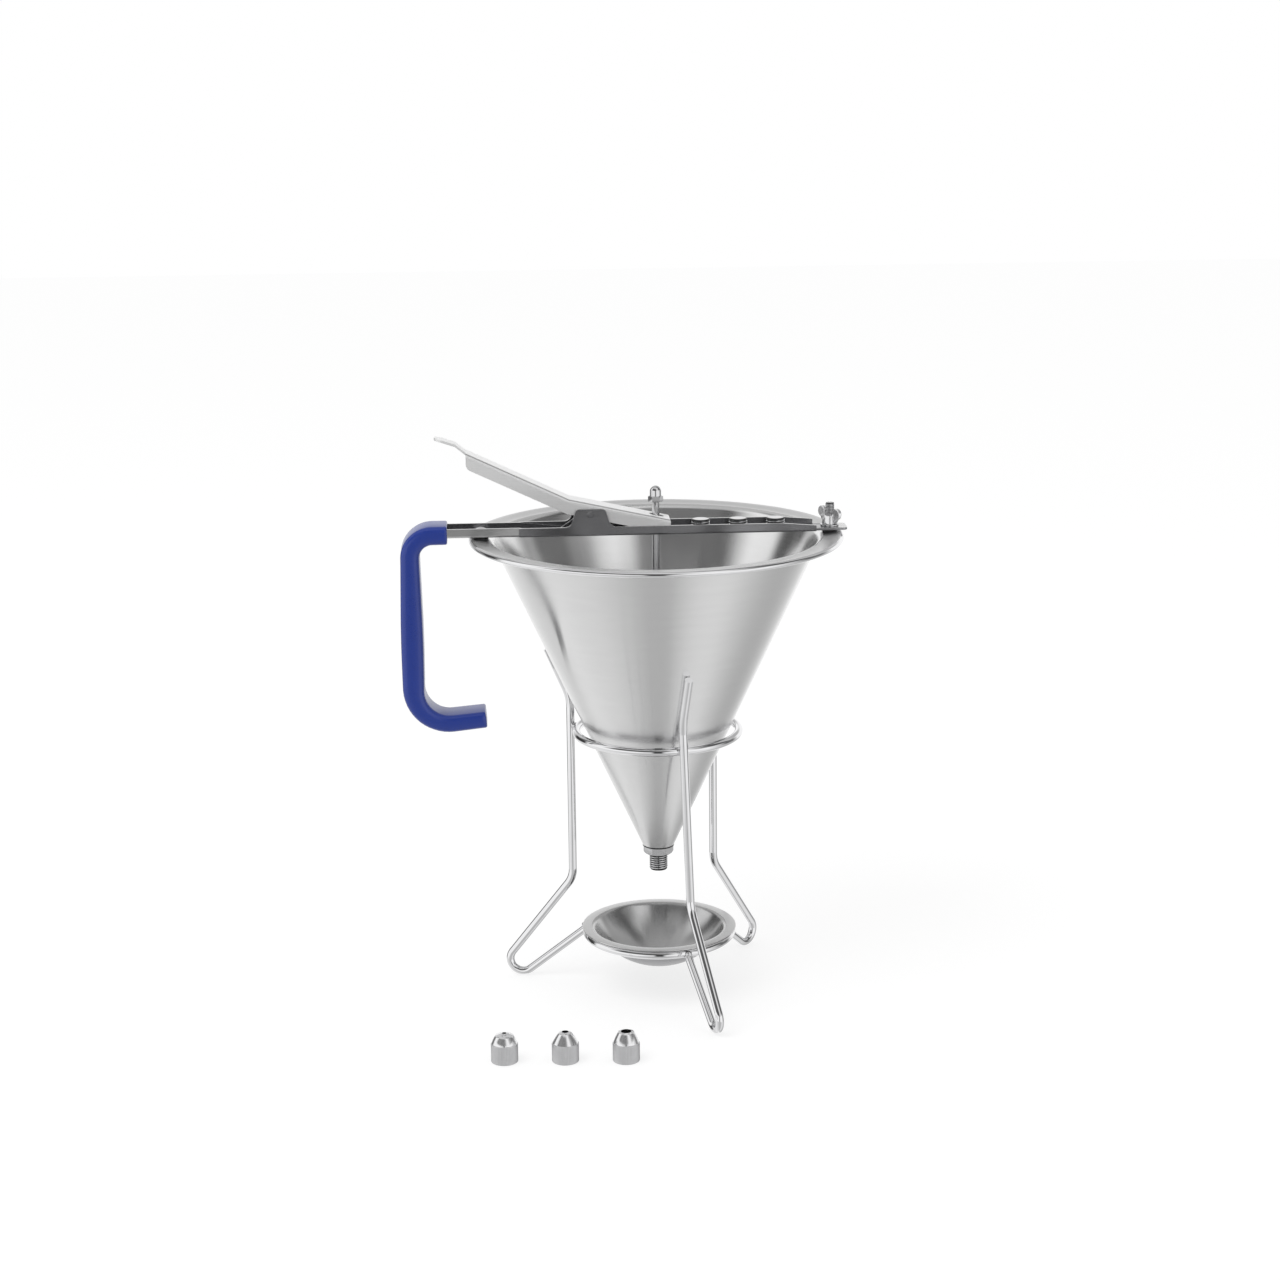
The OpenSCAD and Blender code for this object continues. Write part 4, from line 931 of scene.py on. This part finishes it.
class FUNNEL_OT_clamp(bpy.types.Operator):
    """Cut the clamp stud's thread and cast the wing nut's round forms"""

    bl_idname = "funnel.clamp"
    bl_label = "Clamp"

    def execute(self, context):
        d = context.scene.funnel_detail
        low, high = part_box("clamp_stud")
        centre = (low + high) / 2
        radius = (high.x - low.x) / 2
        rings = 110
        chamfer = 0.5 * MM
        foot = radius - chamfer
        start, top = low.z + context.scene.funnel_sheet.sheet, high.z - chamfer
        outline = (
            [(0, low.z), (foot, low.z), (foot, start)]
            + [(radius, start + (top - start) * i / rings) for i in range(rings + 1)]
            + [(foot, high.z), (0, high.z)]
        )
        stud = turned("clamp_thread", outline, (centre.x, centre.y, 0), 48, 50)
        cut_thread(stud, centre, low.z + d.clamp_plain, top, radius, 0.4 * MM, d.clamp_pitch)
        bodied(stud, "funnel", Finishes.get("bright"), "turned_steel", "clamp_stud")
        grooved(stud, centre, radius, 0.18 * MM)
        washer = dressed("clamp_disc", "clamp_washer", 0.12 * MM)
        bodied(washer, "funnel", Finishes.get("bright"), "turned_steel", "clamp_washer")
        nut = dressed("wing_casting", "wing_nut")
        apply_modifier(nut, "REMESH", mode="VOXEL", voxel_size=0.22 * MM)
        apply_modifier(nut, "SMOOTH", factor=0.5, iterations=7)
        bpy.ops.object.shade_smooth()
        bodied(nut, "wing", Finishes.get("cast"), "polished_steel", "wing_nut")
        return {"FINISHED"}


class FUNNEL_OT_grip(bpy.types.Operator):
    """Loft the moulded grip along its bent middle line"""

    bl_idname = "funnel.grip"
    bl_label = "Grip"

    def middle_line(self, d):
        """Points along the grip's middle, in X and Z."""
        low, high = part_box("handle_grip")
        x, z = low.x + d.grip_middle / 2, high.z - d.grip_top / 2
        corners = [
            Vector((x + d.grip_arm, z)),
            Vector((x, z)),
            Vector((x, z - d.grip_drop)),
            Vector((x + d.grip_reach, z - d.grip_drop + d.grip_rise)),
        ]
        points = [corners[0]]
        for a, b, c, radius, before in (
            (*corners[0:3], d.grip_bend, 6),
            (*corners[1:4], d.grip_turn, 18),
        ):
            u, v = (a - b).normalized(), (c - b).normalized()
            half = u.angle(v) / 2
            start, end = b + u * radius / math.tan(half), b + v * radius / math.tan(half)
            centre = b + (u + v).normalized() * radius / math.sin(half)
            points += [points[-1].lerp(start, i / before) for i in range(1, before)]
            sweep = (start - centre).angle_signed(end - centre)
            for i in range(15):
                arm = (start - centre).copy()
                arm.rotate(Matrix.Rotation(-sweep * i / 14, 2))
                points.append(centre + arm)
        points += [points[-1].lerp(corners[3], i / 8) for i in range(1, 9)]
        return points

    def thickness(self, d, part):
        """Thickness of the grip at a part of its length."""
        stops = [
            (0.0, d.grip_top),
            (0.2, d.grip_top + 0.15 * (d.grip_middle - d.grip_top)),
            (0.3, d.grip_top + 0.5 * (d.grip_middle - d.grip_top)),
            (0.42, d.grip_top + 0.9 * (d.grip_middle - d.grip_top)),
            (0.52, d.grip_middle),
            (0.66, d.grip_middle - 0.15 * (d.grip_middle - d.grip_foot)),
            (0.74, d.grip_middle - 0.6 * (d.grip_middle - d.grip_foot)),
            (0.82, d.grip_foot),
            (1.0, d.grip_foot - 0.5 * MM),
        ]
        for (p0, t0), (p1, t1) in zip(stops, stops[1:]):
            if part <= p1:
                ease = (part - p0) / (p1 - p0)
                return t0 + (t1 - t0) * ease
        return stops[-1][1]

    def execute(self, context):
        d = context.scene.funnel_detail
        low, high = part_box("handle_grip")
        depth = high.y - low.y
        points = self.middle_line(d)
        lengths = [0.0]
        for a, b in zip(points, points[1:]):
            lengths.append(lengths[-1] + (b - a).length)
        rings = []
        last = len(points) - 1
        # The rounded ends: how far a ring stands in from the end, and how much it narrows, in millimetres.
        ends = [(0.0, 0.8), (0.12, 0.44), (0.4, 0.176), (0.8, 0.0)]
        places = [(0, shift, inset) for shift, inset in ends]
        places += [(i, 0.0, 0.0) for i in range(1, last)]
        places += [(last, -shift, inset) for shift, inset in reversed(ends)]
        for i, shift, inset in places:
            along = (points[min(i + 1, last)] - points[max(i - 1, 0)]).normalized()
            out = Vector((-along.y, along.x))
            spot = points[i] + along * shift * MM
            half = self.thickness(d, lengths[i] / lengths[-1]) / 2 - inset * MM
            side = depth / 2 - inset * MM
            ring = []
            for quarter in range(4):
                for step in range(7):
                    a = math.radians(90 * quarter + 15 * step)
                    u = (1 if quarter in (0, 3) else -1) * (half - d.grip_edge) + d.grip_edge * math.cos(a)
                    v = (1 if quarter < 2 else -1) * (side - d.grip_edge) + d.grip_edge * math.sin(a)
                    ring.append(Vector((spot.x + out.x * u, v, spot.y + out.y * u)))
            rings.append(ring)
        piece = lofted("grip_moulding", rings)
        bodied(piece, "funnel", Finishes.get("grip"), "grip_blue", "handle_grip")
        piece.visible_glossy = False
        return {"FINISHED"}


class FUNNEL_OT_stand(bpy.types.Operator):
    """Polish the wires of the stand and lay the weld beads"""

    bl_idname = "funnel.stand"
    bl_label = "Stand"

    def execute(self, context):
        d = context.scene.funnel_detail
        for node in ("stand_upper_ring", "stand_lower_ring", "leg_front", "leg_right", "leg_left"):
            coat_node(node, Finishes.get("wire"))
        for ring in ("upper", "lower"):
            low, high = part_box(f"stand_{ring}_ring")
            height = (low.z + high.z) / 2
            reach = high.x
            for place, turn in enumerate(d.leg_turns):
                lean = math.sin(math.radians(d.leg_lean)) * height if place == 0 else 0.0
                way = Vector((math.cos(turn), math.sin(turn), 0))
                side = Vector((-way.y, way.x, 0))
                spot = way * reach - side * lean
                outline = [(r * MM, z * MM) for r, z in WELD_OUTLINE]
                weld = turned(f"weld_{ring}_{place + 1}", outline, (spot.x, spot.y, height), 24, 60)
                bodied(weld, "stand", Finishes.get("weld"), "polished_steel")
        return {"FINISHED"}


class FUNNEL_OT_bowl(bpy.types.Operator):
    """Turn the round-bottomed drip bowl"""

    bl_idname = "funnel.bowl"
    bl_label = "Drip Bowl"

    def execute(self, context):
        s = context.scene.funnel_sheet
        low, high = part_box("drip_bowl")
        edge, top = high.x, high.z
        mouth = edge - s.bowl_flange
        depth = top - low.z - s.bowl_sheet
        radius = (mouth**2 + depth**2) / (2 * depth)
        centre = top - depth + radius
        inner = s.bowl_bend + s.bowl_sheet
        lip = s.bowl_sheet / 2
        bend_r = math.sqrt((radius + inner) ** 2 - (centre - top + inner) ** 2)
        meet = math.degrees(math.atan2(bend_r, centre - top + inner))
        outline = (
            arc((0, centre), radius, -90, -90 + meet, 32)
            + arc((bend_r, top - inner), inner, 90 + meet, 90, 8)
            + arc((edge - lip, top - lip), lip, 90, -90, 6)
            + arc((bend_r, top - inner), s.bowl_bend, 90, 90 + meet, 8)
            + arc((0, centre), radius + s.bowl_sheet, -90 + meet, -90, 32)
        )
        piece = turned("bowl_sheet", outline, steps=128)
        bodied(piece, "bowl", Finishes.get("bowl"), "brushed_sheet", "drip_bowl")
        faced(piece, Finishes.get("flange"), lambda f: reach_of(f) > bend_r - lip)
        # Painted shade: the bowl's underside gets a darker steel, and its lip the near-black steel of the
        # grooves.
        faced(piece, Finishes.get("under"), lambda f: f.normal.z < -0.1 and f.center.z < top - 1.5 * MM)
        faced(piece, Finishes.get("groove"), lambda f: f.normal.z < 0.2 and reach_of(f) > edge - 0.5 * MM)
        return {"FINISHED"}


class FUNNEL_OT_nozzles(bpy.types.Operator):
    """Turn and knurl the three nozzles"""

    bl_idname = "funnel.nozzles"
    bl_label = "Nozzles"

    def execute(self, context):
        d = context.scene.funnel_detail
        for place, size in enumerate(("small", "medium", "large")):
            node = f"nozzle_{size}"
            low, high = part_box(node)
            centre = (low + high) / 2
            radius = (high.x - low.x) / 2
            top, hole = d.nozzle_tops[place] / 2, d.nozzle_holes[place] / 2
            z0, z1, z2 = low.z, low.z + d.knurl, high.z
            socket = THREAD / 2 + 0.05 * MM
            outline = (
                [(socket, z0 + d.socket), (socket, z0 + 0.3 * MM), (socket + 0.3 * MM, z0)]
                + [(radius - 0.5 * MM, z0), (radius - 0.1 * MM, z0 + 0.3 * MM)]
                + [(radius, z0 + 0.5 * MM + (d.knurl - 1.0 * MM) * i / 6) for i in range(7)]
                + [(radius - 0.12 * MM, z1 - 0.12 * MM), (radius - 0.3 * MM, z1)]
            )
            shoulder = outline[-1]
            crown = (top, z2 - d.nozzle_crown[place])
            for i in range(1, 9):
                part = i / 8
                bulge = d.nozzle_bulge * 4 * part * (1 - part)
                outline.append(
                    (
                        shoulder[0] + (crown[0] - shoulder[0]) * part + bulge,
                        shoulder[1] + (crown[1] - shoulder[1]) * part + bulge * 0.5,
                    )
                )
            outline += [(top - 0.12 * MM, crown[1] + 0.12 * MM), (hole + 0.5 * MM, z2 - 0.05 * MM)]
            outline += [(hole + 0.25 * MM, z2), (hole, z2 - 0.25 * MM), (hole, z0 + d.socket + 2.5 * MM)]
            outline += [(socket, z0 + d.socket)]
            piece = turned(f"{node}_turned", outline, (centre.x, centre.y, 0), d.teeth * 4, 28)
            cut_knurl(piece, centre, z0 + 0.4 * MM, z1 - 0.4 * MM, radius, d.tooth, d.teeth)
            bodied(piece, f"nozzle_{place + 1}", Finishes.get("knurl"), "turned_steel", node)
            faced(piece, Finishes.get("nose"), lambda f: f.center.z > z1 - 0.3 * MM)

            # Painted shade: the faces inside the opening get the near-black steel of the grooves.
            def in_hole(face):
                return reach_of(face, centre) < hole + 0.2 * MM and face.center.z < z2 - 0.1 * MM

            faced(piece, Finishes.get("groove"), in_hole)
        return {"FINISHED"}


class FUNNEL_OT_studio(bpy.types.Operator):
    """Set the floor, the lights and the camera"""

    bl_idname = "funnel.studio"
    bl_label = "Studio"

    def floor(self, context):
        studio = context.scene.funnel_studio
        bpy.ops.object.select_all(action="DESELECT")
        bpy.ops.mesh.primitive_plane_add(size=8, location=(0, 0, CAD_BOX[0][2] - 0.02 * MM))
        floor = context.object
        floor.name = "studio_floor"
        floor.visible_glossy = False
        made, shader = material("Pale Floor")
        matt = shader.add("ShaderNodeBsdfDiffuse", {}, {"Color": (0.86, 0.86, 0.86, 1)})
        glow = shader.add("ShaderNodeEmission", {}, {"Color": WHITE, "Strength": studio.floor})
        lit = shader.add("ShaderNodeMixShader", {}, {0: 0.40, 1: glow, 2: matt})
        eye = shader.add("ShaderNodeLightPath", output="Is Camera Ray")
        both = shader.add("ShaderNodeMixShader", {}, {0: eye, 1: matt, 2: lit})
        output = shader.tree.nodes.new("ShaderNodeOutputMaterial")
        shader.tree.links.new(both.output, output.inputs["Surface"])
        floor.data.materials.append(made)

    def world(self, context):
        studio = context.scene.funnel_studio
        world = bpy.data.worlds.new("Soft Studio")
        world.use_nodes = True
        context.scene.world = world
        shader = Shader(world.node_tree)
        spot = shader.add("ShaderNodeTexCoord", output="Generated")
        rotation = (0, 0, math.radians(studio.panels))
        way = shader.add("ShaderNodeMapping", {}, {"Vector": spot, "Rotation": rotation})
        parts = shader.add("ShaderNodeSeparateXYZ", {}, {0: way})
        turn = parts.math("ARCTAN2", parts.out("Y"), parts) * (1 / math.tau) + 0.5
        low, level, high, top = (
            shader.ramp(turn, [(angle / 360 + 0.5, shade) for angle, shade in panels])
            for panels in (LOW_PANELS, LEVEL_PANELS, HIGH_PANELS, TOP_PANELS)
        )
        height = parts.out("Z") * 0.5 + 0.5
        below, above, over = (shader.ramp(height, [(edge, 0.0), (edge + 0.05, 1.0)]) for edge in PANEL_EDGES)
        mirror = shader.mix(above, shader.mix(below, low, level), shader.mix(over, high, top))
        path = shader.add("ShaderNodeLightPath", output="Is Camera Ray")
        matt = shader.add("ShaderNodeBackground", {}, {"Color": WHITE, "Strength": studio.sky})
        seen = shader.add("ShaderNodeBackground", {}, {"Color": WHITE, "Strength": 1.0})
        glossy = shader.add("ShaderNodeBackground", {}, {"Color": mirror, "Strength": 1.0})
        light = shader.add("ShaderNodeMixShader", {}, {0: path.out("Is Glossy Ray"), 1: matt, 2: glossy})
        both = shader.add("ShaderNodeMixShader", {}, {0: path, 1: light, 2: seen})
        output = shader.tree.nodes.new("ShaderNodeOutputWorld")
        shader.tree.links.new(both.output, output.inputs["Surface"])

    def lamps(self, context):
        studio = context.scene.funnel_studio
        data = bpy.data.lights.new("soft_lamp", "AREA")
        data.shape = "DISK"
        data.size = studio.lamp_size
        data.energy = studio.lamp
        lamp = bpy.data.objects.new("soft_lamp", data)
        context.scene.collection.objects.link(lamp)
        lamp.location = studio.lamp_place
        lamp.rotation_euler = (Vector((0, 0, 0.1)) - lamp.location).to_track_quat("-Z", "Y").to_euler()
        lamp.visible_glossy = False

    def camera(self, context):
        studio = context.scene.funnel_studio
        turn, tilt, roll = (math.radians(a) for a in (studio.turn, studio.tilt, studio.roll))
        ahead = Vector((math.sin(turn) * math.cos(tilt), math.cos(turn) * math.cos(tilt), -math.sin(tilt)))
        right = ahead.cross(Vector((0, 0, 1))).normalized()
        up = right.cross(ahead)
        side = right * math.cos(roll) + up * math.sin(roll)
        top = up * math.cos(roll) - right * math.sin(roll)
        data = bpy.data.cameras.new("studio_camera")
        data.lens = studio.lens
        data.sensor_width = 36
        data.clip_start = 0.05
        camera = bpy.data.objects.new("studio_camera", data)
        context.scene.collection.objects.link(camera)
        axes = Matrix((side, top, -ahead)).transposed().to_4x4()
        axes.translation = Vector(studio.eye)
        camera.matrix_world = axes
        context.scene.camera = camera

    def execute(self, context):
        context.scene.view_settings.view_transform = "Standard"
        self.floor(context)
        self.world(context)
        self.lamps(context)
        self.camera(context)
        return {"FINISHED"}


class FUNNEL_PT_panel(bpy.types.Panel):
    """Lists the sizes, the finishes and the steps"""

    bl_idname = "FUNNEL_PT_panel"
    bl_label = "Confectionery Funnel"
    bl_space_type = "VIEW_3D"
    bl_region_type = "UI"
    bl_category = "Funnel"

    def draw(self, context):
        for name in ("funnel_sheet", "funnel_detail", "funnel_finishes", "funnel_studio"):
            group = getattr(context.scene, name)
            box = self.layout.box()
            for key in group.__annotations__:
                box.prop(group, key)
        for step in STEPS:
            self.layout.operator(step.bl_idname)


STEPS = (
    FUNNEL_OT_studio,
    FUNNEL_OT_cone,
    FUNNEL_OT_outlet,
    FUNNEL_OT_bridge,
    FUNNEL_OT_lever,
    FUNNEL_OT_valve,
    FUNNEL_OT_studs,
    FUNNEL_OT_clamp,
    FUNNEL_OT_grip,
    FUNNEL_OT_stand,
    FUNNEL_OT_bowl,
    FUNNEL_OT_nozzles,
)
GROUPS = {
    "funnel_sheet": FunnelSheetSizes,
    "funnel_detail": FunnelDetailSizes,
    "funnel_finishes": FunnelFinishes,
    "funnel_studio": FunnelStudio,
}


def register():
    for group in GROUPS.values():
        bpy.utils.register_class(group)
    for step in (*STEPS, FUNNEL_PT_panel):
        bpy.utils.register_class(step)
    for name, group in GROUPS.items():
        setattr(bpy.types.Scene, name, PointerProperty(type=group))


def unregister():
    for name in GROUPS:
        delattr(bpy.types.Scene, name)
    for step in (FUNNEL_PT_panel, *reversed(STEPS)):
        bpy.utils.unregister_class(step)
    for group in GROUPS.values():
        bpy.utils.unregister_class(group)


def main():
    register()
    bpy.ops.funnel.studio()
    bpy.ops.funnel.cone()
    bpy.ops.funnel.outlet()
    bpy.ops.funnel.bridge()
    bpy.ops.funnel.lever()
    bpy.ops.funnel.valve()
    bpy.ops.funnel.studs()
    bpy.ops.funnel.clamp()
    bpy.ops.funnel.grip()
    bpy.ops.funnel.stand()
    bpy.ops.funnel.bowl()
    bpy.ops.funnel.nozzles()


if __name__ == "__main__":
    main()
